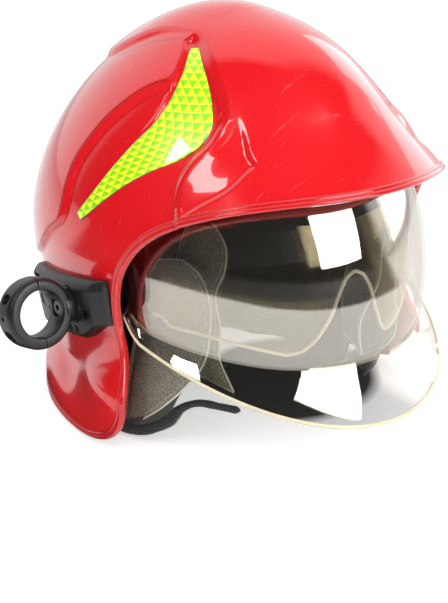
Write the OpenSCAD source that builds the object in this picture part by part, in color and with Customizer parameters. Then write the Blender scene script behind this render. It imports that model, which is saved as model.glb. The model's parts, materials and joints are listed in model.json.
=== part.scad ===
// Fire helmet: moulded shell with crest and side recesses, face shield, eye visor,
// torch clamp, fitting system and neck curtain.
// The front is -Y, the wearer's right is -X, +Z is up, and z = 0 is the table.

/* [Shell] */
// Half width of the shell at its widest, in the recessed side panels
shell_half_w = 119; // [112:1:126]
// Reach of the shell forward of its middle
shell_front = 147; // [140:1:154]
// Reach of the shell rearward of its middle
shell_rear = 160; // [152:1:168]
// Rise of the shell above its widest level
shell_up = 143; // [138:1:150]
// Drop used for the draft of the skirt below the widest level
shell_down = 250; // [220:5:300]
// Height of the widest level over the table
shell_mid_z = 121; // [115:1:126]
// Place of the shell's middle, rearward of the ear line
shell_mid_y = 16; // [12:1:20]
// Roundness of the shell in plan, where 2 is an ellipse
plan_power = 2.05; // [1.9:0.05:2.3]
// Roundness of the shell from the side, where 2 is an ellipse
side_power = 1.72; // [1.6:0.02:2]
// Wall of the shell in the recessed panels
shell_wall = 3.5; // [3:0.1:4]

/* [Shell relief] */
// Height of the front skin and the rear dome over the side panel
panel_step = 3.2; // [2:0.1:4]
// Further height of the crest at its rear end
crest_rise = 6.5; // [4:0.5:8]
// Length over which the crest rises from the front skin
crest_run = 75; // [60:1:90]
// Width of the ramp between two levels of the relief
ramp_w = 8; // [6:0.5:10]
// Depth of the petal-shaped scoop behind the brow
petal_depth = 1.8; // [1:0.1:2.4]
// Outward sweep of the brow lip at the middle
brow_flare = 16; // [12:1:20]
// Height of the brow lip's sweep
brow_flare_len = 42; // [36:1:50]
// Extra fullness over the brow, where the raised visors park
brow_full = 7; // [4:1:9]
// Outward sweep of the nape skirt
nape_flare = 20; // [12:1:24]
// Height of the nape skirt's sweep
nape_flare_len = 38; // [30:1:46]

/* [Opening and edge trim] */
// Front edge of the ear lobes
ear_y = -20; // [-24:1:-16]
// Forward lean of the ear lobes' edge towards their lower end
ear_lean = 9; // [4:1:12]
// Place of the temple on the brow line, forward of the ear line
temple_y = -56; // [-60:1:-52]
// Height of the brow line at the temple
temple_z = 159; // [155:1:164]
// Rise of the brow line per millimetre forward
brow_slope = 0.58; // [0.5:0.02:0.7]
// Bend of the brow line towards level
brow_bend = 0.004; // [0.003:0.0001:0.005]
// Blend between the ear edge and the brow line
temple_round = 36; // [28:1:44]
// Blend between the ear edge and the lower edge
lobe_round = 56; // [48:1:64]
// Rise of the lower edge at the nape
nape_rise = 10; // [4:1:14]
// Width of the edge trim beyond the shell's rim
trim_w = 4; // [3:0.5:5]
// Lip of the edge trim over both faces of the rim
trim_lip = 1; // [0.6:0.1:1.4]

/* [Visors] */
// Height of the visors' pivot
pivot_z = 124; // [122:0.5:126]
// Place of the visors' pivot, rearward of the ear line
pivot_y = 12; // [10:0.5:14]
// Height of the middle of the visors' curved form
visor_mid_z = 108; // [106:0.5:110]
// Place of the middle of the visors' curved form
visor_mid_y = 8; // [7:0.5:9]
// Gap between the shell's inner face and the face shield at the ears
shield_side_gap = 9.3; // [9:0.1:11]
// Reach of the face shield's form from its middle
shield_reach = 131.5; // [129:0.5:133]
// Thickness of the face shield
shield_t = 2.5; // [2:0.1:3]
// Height of the face shield's crease at the ear line
crease_z = 90; // [87:1:92]
// Slope of the crease, falling to the front
crease_slope = 0.145; // [0.1:0.005:0.18]
// Outward reach of the apron below the crease
apron_out = 24; // [18:1:28]
// Drop of the apron below the crease at the middle
apron_drop = 29; // [24:1:34]
// Height of the face shield's upper edge
shield_top_z = 185; // [180:1:188]
// Thickness of the bead along the face shield's lower rim
bead_t = 5; // [4:0.5:6]
// Gap between the outer faces of the face shield and the eye visor at the ears
ocular_side_gap = 8.2; // [8:0.1:9.5]
// Gap between the outer faces of the face shield and the eye visor in front
ocular_front_gap = 15; // [14:0.5:17]
// Thickness of the eye visor
ocular_t = 2.2; // [1.8:0.1:2.6]
// Height of the eye visor's upper edge
ocular_top_z = 157; // [152:1:160]
// Height of the eye visor's lower edge at the lobes over the cheeks
ocular_low_z = 76; // [74:1:80]
// Height of the nose cut-out over the lobes
nose_rise = 51; // [44:1:54]
// Radius of the visor pivot pins
pin_r = 4; // [3:0.5:5]
// Radial clearance of the running fits
run_clear = 0.05; // [0.02:0.01:0.08]
// Gap between neighbouring parts that turn past each other
side_gap = 0.3; // [0.2:0.05:0.5]
// Thickness of the visor arms
arm_t = 3; // [2.5:0.1:3.4]

/* [Liner and head fitting] */
// Half width of the head space
head_half_w = 76; // [74:0.5:78]
// Half length of the head space
head_half_l = 97; // [95:0.5:98]
// Rise of the head space over its middle
head_up = 77; // [74:1:79]
// Height of the head space's middle
head_mid_z = 145; // [143:1:147]
// Place of the head space's middle
head_mid_y = 13; // [12:0.5:14]
// Room for the visor arms and pivots on each side of the liner
liner_side_gap = 14; // [13:0.5:15]
// Reach of the liner's forehead from the shell's middle
liner_front = 106; // [104:0.5:108]
// Rise of the liner's front half over the shell's widest level
liner_up = 118; // [114:1:120]
// Lower edge of the liner at the forehead
liner_brow_z = 150; // [146:1:154]
// Lower edge of the liner over the ears
liner_ear_z = 92; // [88:1:98]
// Height of the headband
band_h = 24; // [20:1:26]
// Thickness of the headband
band_t = 2; // [1.6:0.1:2.4]
// Height of the headband's lower edge at its middle
band_z = 108; // [105:1:110]
// Fall of the headband to the rear, in degrees
band_tilt = 12; // [8:1:14]
// Radius of the size wheel
wheel_r = 15; // [12:0.5:17]
// Width of the size wheel
wheel_w = 11; // [9:0.5:13]
// Number of grips round the size wheel
wheel_grips = 14; // [10:1:18]

/* [Torch clamp] */
// Radius of the torch that the clamp holds
torch_r = 15; // [12:0.5:16]
// Outer radius of the clamp ring
ring_r = 22.5; // [21.5:0.5:25]
// Width of the clamp ring along the torch
ring_w = 15; // [12:1:18]
// Distance of the clamp ring's axis from the shell's side
ring_out = 34; // [33:0.5:37]
// Place of the clamp ring, rearward of the ear line
ring_y = 18; // [12:1:24]
// Height of the clamp ring's axis
ring_z = 94; // [91:1:97]
// Rise of the torch to the front when the ring is at rest, in degrees
ring_rest = 12; // [8:1:16]
// Length of the side bracket
bracket_l = 104; // [98:1:106]
// Height of the side bracket
bracket_h = 40; // [36:1:44]
// Thickness of the side bracket over the shell
bracket_t = 10; // [8:0.5:11]
// Place of the bracket's middle
bracket_y = 36; // [34:0.5:38]
// Height of the bracket's middle
bracket_z = 87; // [84:1:90]
// Fall of the bracket to the rear, in degrees
bracket_fall = 11.5; // [8:0.5:14]
// Number of pockets in the bracket's upper band
pocket_n = 5; // [3:1:6]

/* [Neck protection] */
// Thickness of the ear flaps
flap_t = 5; // [4.5:0.5:7]
// Thickness of the cheek pads
pad_leather_t = 3; // [2:0.5:4]
// Thickness of the neck curtain
curtain_t = 3; // [2:0.5:4]
// Depth of the neck curtain's folds
fold_depth = 3.5; // [1:0.5:5]
// Number of the neck curtain's folds
fold_n = 7; // [4:1:9]

/* [Hidden] */
$fn = 48;
eps = 0.01;

shell_mid = [0, shell_mid_y, shell_mid_z];
shield_half_w = shell_half_w - shell_wall - shield_side_gap;
ocular_half_w = shield_half_w - ocular_side_gap;
ocular_reach = shield_reach - ocular_front_gap;
liner_half_w = ocular_half_w - liner_side_gap;

// Bearings round the shell's pole, in degrees from the front, and rings from pole to rim
feature_from = 18;
feature_to = 96;
lobe_to = 142;
front_lines = 4;
feature_lines = 27;
lobe_lines = 11;
rear_lines = 5;
rings = 30;
inner_rings = 12;

// Side-view curves as shares of the shell's reach and rise from its middle (y, z)
// Upper edge of the side panel: crest edge, then the S-shaped edge of the front skin
skin_share = [[0.6, 0.734], [0.5, 0.713], [0.362, 0.755], [0.225, 0.846], [0.062, 0.909], [-0.075, 0.937],
    [-0.184, 0.888], [-0.306, 0.825], [-0.422, 0.748], [-0.469, 0.664], [-0.463, 0.58], [-0.429, 0.497],
    [-0.456, 0.392], [-0.517, 0.259]];
// Lower edge of the rear dome over the side panel
dome_share = [[-0.054, 0.923], [-0.116, 0.86], [-0.15, 0.79], [-0.102, 0.776], [0.025, 0.692],
    [0.113, 0.559], [0.175, 0.385], [0.181, 0.203], [0.256, 0.07], [0.394, -0.063], [0.588, -0.161],
    [0.963, -0.203]];
// Lower edge of the petal scoop, from its faint upper end round the point to the brow, and its back
petal_share = [[-0.531, 0.692], [-0.646, 0.573], [-0.701, 0.531], [-0.687, 0.462], [-0.626, 0.392],
    [-0.531, 0.315]];
petal_back = [[-0.476, 0.399], [-0.449, 0.497], [-0.476, 0.594], [-0.49, 0.664]];
// Edges of the reflective sticker from its upper tip to its lower tip
sticker_rear = [[-0.102, 0.916], [-0.156, 0.839], [-0.19, 0.727], [-0.184, 0.608], [-0.116, 0.483],
    [-0.034, 0.357], [0.069, 0.196]];
sticker_fore = [[-0.122, 0.902], [-0.265, 0.818], [-0.388, 0.734], [-0.449, 0.629], [-0.408, 0.531],
    [-0.252, 0.42], [0.044, 0.182]];
// Beyond the shell on every side, to close the zones behind the curves
front_end = -1.61;
rear_end = 1.34;
top_end = 1.46;
low_end = -0.2;

// General helpers
function unit(v) = v / norm(v);
function clamp01(t) = min(1, max(0, t));
function smooth(t) = let(c = clamp01(t)) c * c * (3 - 2 * c);
function mix(a, b, t) = a + (b - a) * t;
function smin(a, b, k) = let(h = max(k - abs(a - b), 0) / k) min(a, b) - h * h * k / 4;
function smax(a, b, k) = -smin(-a, -b, k);
function seg_dist(p, a, b) = let(d = b - a, t = clamp01(((p - a) * d) / (d * d))) norm(p - a - t * d);
function line_dist(p, c) = min([for (i = [0:len(c) - 2]) seg_dist(p, c[i], c[i + 1])]);
function crosses(p, a, b) =
    (a.y > p.y) != (b.y > p.y) && p.x < (b.x - a.x) * (p.y - a.y) / (b.y - a.y) + a.x ? 1 : 0;
function total(v, i = 0, s = 0) = i == len(v) ? s : total(v, i + 1, s + v[i]);
function inside(p, c) = total([for (i = [0:len(c) - 1]) crosses(p, c[i], c[(i + 1) % len(c)])]) % 2 == 1;
// Smooth curve through control points, with n steps between two of them
function spline(c, n) = [for (i = [0:len(c) - 2], j = [0:n - 1]) spline_at(c, i, j / n), c[len(c) - 1]];
function spline_at(c, i, t) = let(a = c[max(i - 1, 0)], b = c[i], d = c[i + 1], e = c[min(i + 2, len(c) - 1)])
    0.5 * (2 * b + t * (d - a) + t * t * (2 * a - 5 * b + 4 * d - e) + t * t * t * (3 * b - a - 3 * d + e));
// Places in the side view from shares of the shell's reach and rise
function placed(c) = [for (q = c) [shell_mid_y + q.x * (q.x < 0 ? shell_front : shell_rear),
    shell_mid_z + q.y * shell_up]];

// Closed skin over rows of points, where each row is one closed loop of equal length
function loop_faces(rows, n) = [for (i = [0:rows - 2], j = [0:n - 1])
    let(a = i * n + j, b = i * n + (j + 1) % n) each [[a, b, b + n], [a, b + n, a + n]]];
// A sheet of thickness between two point grids of equal size, closed all round
module slab(front, back, flip = false) {
    m = len(front);
    n = len(front[0]);
    rows = [for (i = [0:m - 1]) concat(front[i], [for (j = [n - 1:-1:0]) back[i][j]])];
    caps = [for (e = [0, m - 1], j = [0:n - 2])
        let(a = e * 2 * n + j, b = a + 1, c = e * 2 * n + 2 * n - 2 - j, d = c + 1)
        each e == 0 ? [[a, c, b], [a, d, c]] : [[a, b, c], [a, c, d]]];
    faces = concat(loop_faces(m, 2 * n), caps);
    polyhedron([for (r = rows) each r], flip ? [for (f = faces) [f[2], f[1], f[0]]] : faces);
}

// Shell form
function shell_r(d) = let(ay = d.y < 0 ? shell_front : shell_rear, az = d.z > 0 ? shell_up : shell_down)
    pow(pow(pow(abs(d.x) / shell_half_w, plan_power) + pow(abs(d.y) / ay, plan_power),
    side_power / plan_power) + pow(abs(d.z) / az, side_power), -1 / side_power);
function shell_p(d) = shell_mid + shell_r(d) * d;
// Half width of the shell's panel level at a place in the side view
function shell_x(y, z) = let(
    v = y - shell_mid_y, w = z - shell_mid_z, ay = v < 0 ? shell_front : shell_rear,
    az = w > 0 ? shell_up : shell_down,
    h = pow(max(0, 1 - pow(abs(w) / az, side_power)), plan_power / side_power))
    shell_half_w * pow(max(0, h - pow(abs(v) / ay, plan_power)), 1 / plan_power);
function out_dir(p) = unit([p.x, p.y - shell_mid_y, max(p.z - shell_mid_z, 0)]);
// A side-view curve laid on the wearer's right side of the shell
function lay(c, n) = [for (q = spline(c, n)) [-shell_x(q.x, q.y), q.x, q.y]];
curve_steps = 3;
skin_edge = placed(skin_share);
dome_edge = placed(dome_share);
petal_edge = placed(petal_share);
skin_curve = lay(skin_edge, curve_steps);
dome_curve = lay(dome_edge, curve_steps);
petal_curve = lay(petal_edge, curve_steps);
skin_zone = concat(spline(skin_edge, curve_steps),
    placed([[-0.585, 0.098], [front_end, low_end], [front_end, top_end], [0.6, top_end]]));
dome_zone = concat(spline(dome_edge, curve_steps),
    placed([[rear_end, low_end], [rear_end, top_end], [-0.068, top_end]]));
petal_zone = concat(spline(petal_edge, curve_steps), placed(petal_back));
function ramp(p, curve, zone) =
    let(s = inside([p.y, p.z], zone) ? 1 : -1) smooth(0.5 + s * line_dist(p, curve) / ramp_w);
function petal(p) = inside([p.y, p.z], petal_zone) ?
    let(d = line_dist(p, petal_curve)) petal_depth * smooth(d / 2.5) * (1 - smooth(d / 26)) : 0;
// Height of the relief over the panel level; p is on the wearer's right side
function relief(p) = max(
    ramp(p, skin_curve, skin_zone) * (panel_step + crest_rise * smooth(p.y / crest_run)) - petal(p),
    ramp(p, dome_curve, dome_zone) * panel_step);
// Fullness over the brow at a bearing, s millimetres from the rim
full_len = 150;
full_turn_a = 30;
function fullness(a, s) = s < full_len ?
    brow_full * smooth(1 - a / full_turn_a) * pow(sin(180 * s / full_len), 2) : 0;
// Level sweep of the brow lip and nape skirt at a bearing and height, s millimetres from the rim
brow_turn_a = 80;
nape_from_a = 78;
nape_full_a = 118;
nape_short = 14;
nape_side = 0.25;
nape_top_z = 78;
function nape_share(a) = smooth((a - nape_from_a - 6) / (nape_full_a - nape_from_a - 6));
function brow_sweep(a, s) = brow_flare * smooth(1 - a / brow_turn_a) * pow(max(0, 1 - s / brow_flare_len), 2);
function nape_sweep(a, s, z) = nape_flare * mix(nape_side, 1, nape_share(a)) * smooth((a - nape_from_a) / 14)
    * smooth((nape_top_z - z) / 40)
    * pow(sin(90 * max(0, 1 - s / (nape_short + nape_flare_len * nape_share(a)))), 1.5);
function flare(a, s, z) = brow_sweep(a, s) + nape_sweep(a, s, z);
function level_dir(p) = unit([p.x, p.y - shell_mid_y, 0]);
// Positive inside the face opening, and below the lower edge
function brow_z(y) = let(w = temple_y - y) temple_z + brow_slope * w - brow_bend * w * w;
function low_z(y) = nape_rise * smooth((y - 95) / 75);
lean_from_z = 95;
lean_len = 75;
function ear_edge_y(z) = ear_y - ear_lean * smooth((lean_from_z - z) / lean_len);
function face_cut(p) = smin(ear_edge_y(p.z) - p.y, brow_z(p.y) - p.z, temple_round);
function cut_away(p) = smax(face_cut(p), low_z(p.y) - p.z, lobe_round);
// Direction at a bearing from the front and an angle from the pole at the upper rear
function shell_dir(a, t) = [-sin(t) * sin(a), cos(t) * sqrt(0.5) - sin(t) * cos(a) * sqrt(0.5),
    cos(t) * sqrt(0.5) + sin(t) * cos(a) * sqrt(0.5)];
function rim_t(a, lo = 50, hi = 150, i = 0) = i == 16 ? (lo + hi) / 2 : let(
    m = (lo + hi) / 2, g = cut_away(shell_p(shell_dir(a, m))) + trim_w)
    g > 0 ? rim_t(a, lo, m, i + 1) : rim_t(a, m, hi, i + 1);
function arc_len(a, t, te) = (te - t) * PI / 180 * shell_r(shell_dir(a, t));
function skin_p(a, t, te, lift) = let(p = shell_p(shell_dir(a, t)), s = arc_len(a, t, te))
    p + out_dir(p) * (lift + fullness(a, s)) + level_dir(p) * flare(a, s, p.z);
function outer_p(a, t, te) = skin_p(a, t, te, relief(shell_p(shell_dir(a, t))));
function inner_p(a, t, te) = skin_p(a, t, te, -shell_wall);
bearings = concat([for (i = [0:front_lines - 1]) feature_from * i / front_lines],
    [for (i = [0:feature_lines - 1]) mix(feature_from, feature_to, i / feature_lines)],
    [for (i = [0:lobe_lines - 1]) mix(feature_to, lobe_to, i / lobe_lines)],
    [for (i = [0:rear_lines]) mix(lobe_to, 180, i / rear_lines)]);
rim_angles = [for (a = bearings) rim_t(a)];
half_n = len(bearings);
// A full turn of points from those on the wearer's right
function full_turn(c) = concat(c, [for (i = [half_n - 2:-1:1]) [-c[i].x, c[i].y, c[i].z]]);
function ring_t(te, j, n) = te * pow(j / n, 0.9);
function outer_ring(j) = full_turn([for (i = [0:half_n - 1])
    outer_p(bearings[i], ring_t(rim_angles[i], j, rings), rim_angles[i])]);
function inner_ring(j) = full_turn([for (i = [0:half_n - 1])
    inner_p(bearings[i], ring_t(rim_angles[i], j, inner_rings), rim_angles[i])]);
rim_out = outer_ring(rings);
rim_in = inner_ring(inner_rings);

module shell() {
    top = shell_p(shell_dir(0, 0));
    up = out_dir(top);
    color("#d01018") dome_skin([for (j = [1:rings]) outer_ring(j)], [for (j = [1:inner_rings]) inner_ring(j)],
        top + up * panel_step, top - up * shell_wall);
}

module edge_trim() {
    n = len(rim_out);
    back_out = outer_ring(rings - 1);
    back_in = inner_ring(inner_rings - 1);
    rows = [for (i = [0:n - 1]) let(
        o = rim_out[i], q = rim_in[i], u = out_dir((o + q) / 2),
        t = unit(unit(q - back_in[i]) + unit(o - back_out[i])))
        [q - u * trim_lip, o + u * trim_lip, o + u * trim_lip + t * trim_w * 0.55,
        (o + q) / 2 + t * trim_w, q - u * trim_lip + t * trim_w * 0.55]];
    faces = [for (i = [0:n - 1], j = [0:4]) let(
        k = (i + 1) % n, a = i * 5 + j, b = i * 5 + (j + 1) % 5, c = k * 5 + j, d = k * 5 + (j + 1) % 5)
        each [[a, b, d], [a, d, c]]];
    color("#e02028") polyhedron([for (r = rows) each r], faces);
}

// Reflective sticker in the side recess
sticker_t = 0.5;
sticker_lift = 0.15;
function sticker_p(q, h) = let(p = [-shell_x(q.x, q.y), q.x, q.y]) p + out_dir(p) * (relief(p) + h);
function sticker_grid(h) = let(
    f = spline(placed(sticker_fore), curve_steps), r = spline(placed(sticker_rear), curve_steps))
    [for (i = [0:len(f) - 1]) [for (j = [0:4]) sticker_p(mix(f[i], r[i], j / 4), h)]];
module sticker() {
    slab(sticker_grid(sticker_lift + sticker_t), sticker_grid(sticker_lift), true);
}
module sticker_right() {
    color("#d8f020") sticker();
}
module sticker_left() {
    color("#d8f020") mirror([1, 0, 0]) sticker();
}

// Visor forms: an ellipsoid about an axis along X, flattened at the ears for the arms
ear_flat = 3;
ear_r = 22;
flat_r = 28;
ear_top_a = 55;
function flat_x(w) = w - ear_flat;
function form_x(w, reach, r) = min(w * sqrt(max(0, 1 - r * r / reach / reach)), flat_x(w));
// A point at meridian radius r of the outer face and angle a, off millimetres below that face
function form_p(side, w, reach, r, a, off) = let(q = r * (reach - off) / reach)
    [side * form_x(w - off, reach - off, q), visor_mid_y - q * cos(a), visor_mid_z + q * sin(a)];
// Meridians from the right ear over the middle to the left ear, as side and radius
function meridians(reach, n) = [for (i = [-n:n]) [i < 0 ? -1 : 1, abs(i) == n ? ear_r :
    reach * sin(mix(asin(flat_r / reach), 90, pow(1 - abs(i) / (n - 1), 0.85)))]];
function height_a(z, r, lo, hi) = let(k = (z - visor_mid_z) / r)
    min(hi, max(lo, asin(min(0.99, max(-0.99, k)))));
function crease_a(r) = let(k = crease_slope, e = visor_mid_z - crease_z + k * visor_mid_y)
    max(-38, -asin(min(0.99, e / r / sqrt(1 + k * k))) - atan(k));

// Face shield: panel, crease, flared apron and rim bead
shield_n = 20;
panel_n = 5;
function panel(m, off) = [for (j = [0:panel_n]) form_p(m[0], shield_half_w, shield_reach, m[1],
    mix(height_a(shield_top_z, m[1], -30, ear_top_a), crease_a(m[1]), j / panel_n), off)];
function apron(m, off) = let(
    q = m[1] / shield_reach, c = panel(m, 0)[panel_n],
    out = unit([c.x * 0.25, c.y - visor_mid_y, 0]),
    rim = c + out * apron_out * pow(q, 1.15) - [0, 0, apron_drop * pow(q, 1.3)],
    d = unit(rim - c), n = unit([0, 0, d * out] - out * d.z),
    lip = bead_t - shield_t)
    off == 0 ?
    [(c + rim) / 2 - n * 1.2 * q, rim, rim + n * lip + d, rim + n * lip + d * (bead_t - 1)] :
    [(c + rim) / 2 - n * (1.2 * q + off), rim - n * off, rim - n * off + d * (bead_t - 1.5),
    rim - n * (off - 1) + d * bead_t];
module face_shield() {
    ms = meridians(shield_reach, shield_n);
    color("#ece6cc", 0.35)
        slab([for (m = ms) concat(panel(m, 0), apron(m, 0))],
        [for (m = ms) concat(panel(m, shield_t), apron(m, shield_t))], true);
}

// Eye visor with a cut-out for the nose and lobes over the cheeks
ocular_n = 24;
ocular_rows = 6;
// Share of the nose cut-out's rise, and rise over the lobes' low point, by distance from the middle
nose_shape = [[0, 1], [7, 0.93], [12, 0.76], [17, 0.48], [25, 0.19], [32, 0.04], [40, 0]];
side_shape = [[40, 0], [57, 5], [79, 11], [89, 12], [91, 17], [100, 17]];
function ocular_low(x) = ocular_low_z + nose_rise * lookup(abs(x), nose_shape) + lookup(abs(x), side_shape);
function ocular_strip(m, off) = let(x = form_x(ocular_half_w, ocular_reach, m[1]))
    [for (j = [0:ocular_rows]) form_p(m[0], ocular_half_w, ocular_reach, m[1],
    mix(height_a(ocular_top_z, m[1], -30, ear_top_a), height_a(ocular_low(x), m[1], -38, 60),
    j / ocular_rows), off)];
module eye_visor() {
    ms = meridians(ocular_reach, ocular_n);
    color("#d9cc9a", 0.4)
        slab([for (m = ms) ocular_strip(m, 0)], [for (m = ms) ocular_strip(m, ocular_t)], true);
}

// Places of the pivot parts along X, from the liner outwards
plate_t = 3;
plate_r = 20;
boss_r = 7;
hub_r = 14;
head_t = 2;
ocular_face = flat_x(ocular_half_w - ocular_t);
shield_face = flat_x(shield_half_w - shield_t);
plate_x = liner_half_w;
pad_reach = 27;
module along_x(x, length, r) {
    translate([x, 0, 0]) rotate([0, 90, 0]) cylinder(h = length, r = r);
}
module at_pivot() {
    translate([0, pivot_y, pivot_z]) children();
}
// Arm from the pivot to the flat ear of a visor, lying on the ear's inner face
module visor_arm(face) {
    difference() {
        union() {
            at_pivot() along_x(face - arm_t, arm_t, hub_r);
            translate([face - arm_t, 0, 0]) rotate([90, 0, 90]) linear_extrude(arm_t)
                polygon(concat([for (a = [-36:12:36]) [visor_mid_y - pad_reach * cos(a),
                visor_mid_z + pad_reach * sin(a)]],
                [[pivot_y, pivot_z + hub_r - 1], [pivot_y + hub_r - 2, pivot_z],
                [pivot_y, pivot_z - hub_r + 1], [visor_mid_y - 17, visor_mid_z - 13]]));
        }
        at_pivot() along_x(face - arm_t - 1, arm_t + 2, pin_r + run_clear);
    }
}
module visor_arm_left() {
    color("#3a3a3c") visor_arm(ocular_face);
}
module visor_arm_right() {
    color("#3a3a3c") mirror([1, 0, 0]) visor_arm(ocular_face);
}
module shield_arm_left() {
    color("#3a3a3c") visor_arm(shield_face);
}
module shield_arm_right() {
    color("#3a3a3c") mirror([1, 0, 0]) visor_arm(shield_face);
}
module pivot_plate() {
    at_pivot() difference() {
        union() {
            along_x(plate_x, plate_t, plate_r);
            along_x(plate_x, ocular_face - arm_t - side_gap - plate_x, boss_r);
        }
        along_x(plate_x - 1, 20, pin_r + run_clear);
    }
}
module pivot_pin() {
    at_pivot() {
        along_x(plate_x, shield_face + side_gap - plate_x + eps, pin_r);
        along_x(shield_face + side_gap, head_t, boss_r);
    }
}
module pivot_spacer() {
    from = ocular_face + side_gap;
    at_pivot() difference() {
        along_x(from, shield_face - arm_t - side_gap - from, boss_r);
        along_x(from - 1, 30, pin_r + run_clear);
    }
}
module pivot_plate_left() {
    color("#2c2c2e") pivot_plate();
}
module pivot_plate_right() {
    color("#2c2c2e") mirror([1, 0, 0]) pivot_plate();
}
module pivot_pin_left() {
    color("#b8bcc0") pivot_pin();
}
module pivot_pin_right() {
    color("#b8bcc0") mirror([1, 0, 0]) pivot_pin();
}
module pivot_spacer_left() {
    color("#e8e8e4") pivot_spacer();
}
module pivot_spacer_right() {
    color("#e8e8e4") mirror([1, 0, 0]) pivot_spacer();
}

// Impact liner: clear of the visors in front, seated under the shell behind
liner_seat = 0.6;
liner_side_w = 92;
liner_nape_drop = 5;
liner_lines = 20;
liner_rings = 8;
head_mid = [0, head_mid_y, head_mid_z];
function ray_ellipsoid(d) = let(
    s = [head_half_w, head_half_l, head_up], o = shell_mid - head_mid,
    p = [o.x / s.x, o.y / s.y, o.z / (d.z * 60 + o.z > 0 ? s.z : 220)],
    v = [d.x / s.x, d.y / s.y, d.z / (d.z * 60 + o.z > 0 ? s.z : 220)],
    b = p * v, c = p * p - 1, a = v * v) (-b + sqrt(b * b - a * c)) / a;
function liner_r(d) = let(
    w = smooth((d.y - 0.35) / 0.35),
    f = 1 / norm([d.x / liner_side_w, d.y / liner_front, d.z / liner_up]),
    side = abs(d.x) < 0.1 ? f : min(f, liner_half_w / abs(d.x)))
    mix(side, shell_r(d) - shell_wall - liner_seat, w);
function liner_side_z(y) = mix(liner_brow_z, liner_ear_z, smooth((y + 32) / 32));
function liner_low(y) = mix(liner_side_z(y), shell_mid_z - liner_nape_drop, smooth((y - 55) / 40));
function liner_t(a, lo = 40, hi = 150, i = 0) = i == 14 ? (lo + hi) / 2 : let(
    m = (lo + hi) / 2, d = shell_dir(a, m), p = shell_mid + d * ray_ellipsoid(d))
    p.z < liner_low(p.y) ? liner_t(a, lo, m, i + 1) : liner_t(a, m, hi, i + 1);
liner_bearings = [for (i = [0:liner_lines]) 180 * i / liner_lines];
function around(c) = concat(c, [for (i = [len(c) - 2:-1:1]) [-c[i].x, c[i].y, c[i].z]]);
function liner_row(j, inner) = around([for (a = liner_bearings) let(
    d = shell_dir(a, liner_t(a) * j / liner_rings)) shell_mid + d * (inner ? ray_ellipsoid(d) : liner_r(d))]);
module dome_skin(rows_out, rows_in, top_out, top_in) {
    rows = concat(rows_out, [for (j = [len(rows_in) - 1:-1:0]) rows_in[j]]);
    n = len(rows[0]);
    m = len(rows);
    faces = concat(loop_faces(m, n), [for (j = [0:n - 1]) [m * n, (j + 1) % n, j]],
        [for (j = [0:n - 1]) let(b = (m - 1) * n) [m * n + 1, b + j, b + (j + 1) % n]]);
    polyhedron(concat([for (r = rows) each r], [top_out, top_in]), [for (f = faces) [f[2], f[1], f[0]]]);
}
module impact_liner() {
    d = shell_dir(0, 0);
    color("#26262a") dome_skin([for (j = [1:liner_rings]) liner_row(j, false)],
        [for (j = [1:liner_rings]) liner_row(j, true)],
        shell_mid + d * liner_r(d), shell_mid + d * ray_ellipsoid(d));
}

// Head fitting: straps, headband, pads and the size wheel
band_gap = 4;
strap_t = 1.2;
strap_w = 22;
pad_t = 5;
lap = 0.3;
crown_h = head_mid_z + head_up - band_z - 14;
function ellipse(a, b, from, to, n) = [for (i = [0:n])
    let(t = mix(from, to, i / n)) [a * sin(t), -b * cos(t)]];
function arc_band(off, t, from, to, n) = concat(
    ellipse(head_half_w - off, head_half_l - off, from, to, n),
    ellipse(head_half_w - off - t, head_half_l - off - t, to, from, n));
module on_band(lift) {
    translate([0, head_mid_y, band_z]) rotate([-band_tilt, 0, 0]) translate([0, 0, lift]) children();
}
module headband() {
    color("#1d1d20") on_band(0) linear_extrude(band_h) difference() {
        polygon(ellipse(head_half_w - band_gap, head_half_l - band_gap, 0, 352.5, 47));
        polygon(ellipse(head_half_w - band_gap - band_t, head_half_l - band_gap - band_t, 0, 352.5, 47));
    }
}
module band_pad(from, to) {
    on_band(1) linear_extrude(band_h / 2) polygon(arc_band(band_gap + band_t - lap, pad_t, from, to, 14));
}
module brow_pad() {
    color("#3b342c") band_pad(-52, 52);
}
module nape_pad() {
    color("#3b342c") band_pad(148, 212);
}
module strap_arc(reach, rise) {
    polygon(concat([for (a = [0:9:180]) [reach * cos(a), rise * sin(a)]],
        [for (a = [180:-9:0]) [(reach - strap_t) * cos(a), (rise - strap_t) * sin(a)]]));
}
module crown_straps() {
    off = band_gap + band_t - lap;
    color("#2a2a2e") on_band(band_h / 2 + 3) {
        translate([-strap_w / 2, 0, 0]) rotate([90, 0, 90]) linear_extrude(strap_w)
            strap_arc(head_half_l - off, crown_h);
        translate([0, strap_w / 2, 0]) rotate([90, 0, 0]) linear_extrude(strap_w)
            strap_arc(head_half_w - off, crown_h);
    }
}
ratchet_z = 100;
ratchet_y = head_mid_y + head_half_l - 6;
housing_w = 56;
housing_h = 30;
housing_t = 11;
spindle_r = 3;
module along_y(y, length, r) {
    translate([0, y, ratchet_z]) rotate([-90, 0, 0]) cylinder(h = length, r = r);
}
module ratchet_housing() {
    color("#1a1a1c") difference() {
        translate([0, ratchet_y + housing_t, ratchet_z]) rotate([90, 0, 0])
            linear_extrude(housing_t) union() {
            square([housing_w, housing_h - 10], center = true);
            square([housing_w - 10, housing_h], center = true);
            for (x = [-1, 1], z = [-1, 1])
                translate([x * (housing_w / 2 - 5), z * (housing_h / 2 - 5)]) circle(r = 5);
        }
        along_y(ratchet_y + 3, housing_t, spindle_r + run_clear);
    }
}
module ratchet_spindle() {
    color("#b8bcc0") along_y(ratchet_y + 3, housing_t - 3 + side_gap + wheel_w, spindle_r);
}
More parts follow.
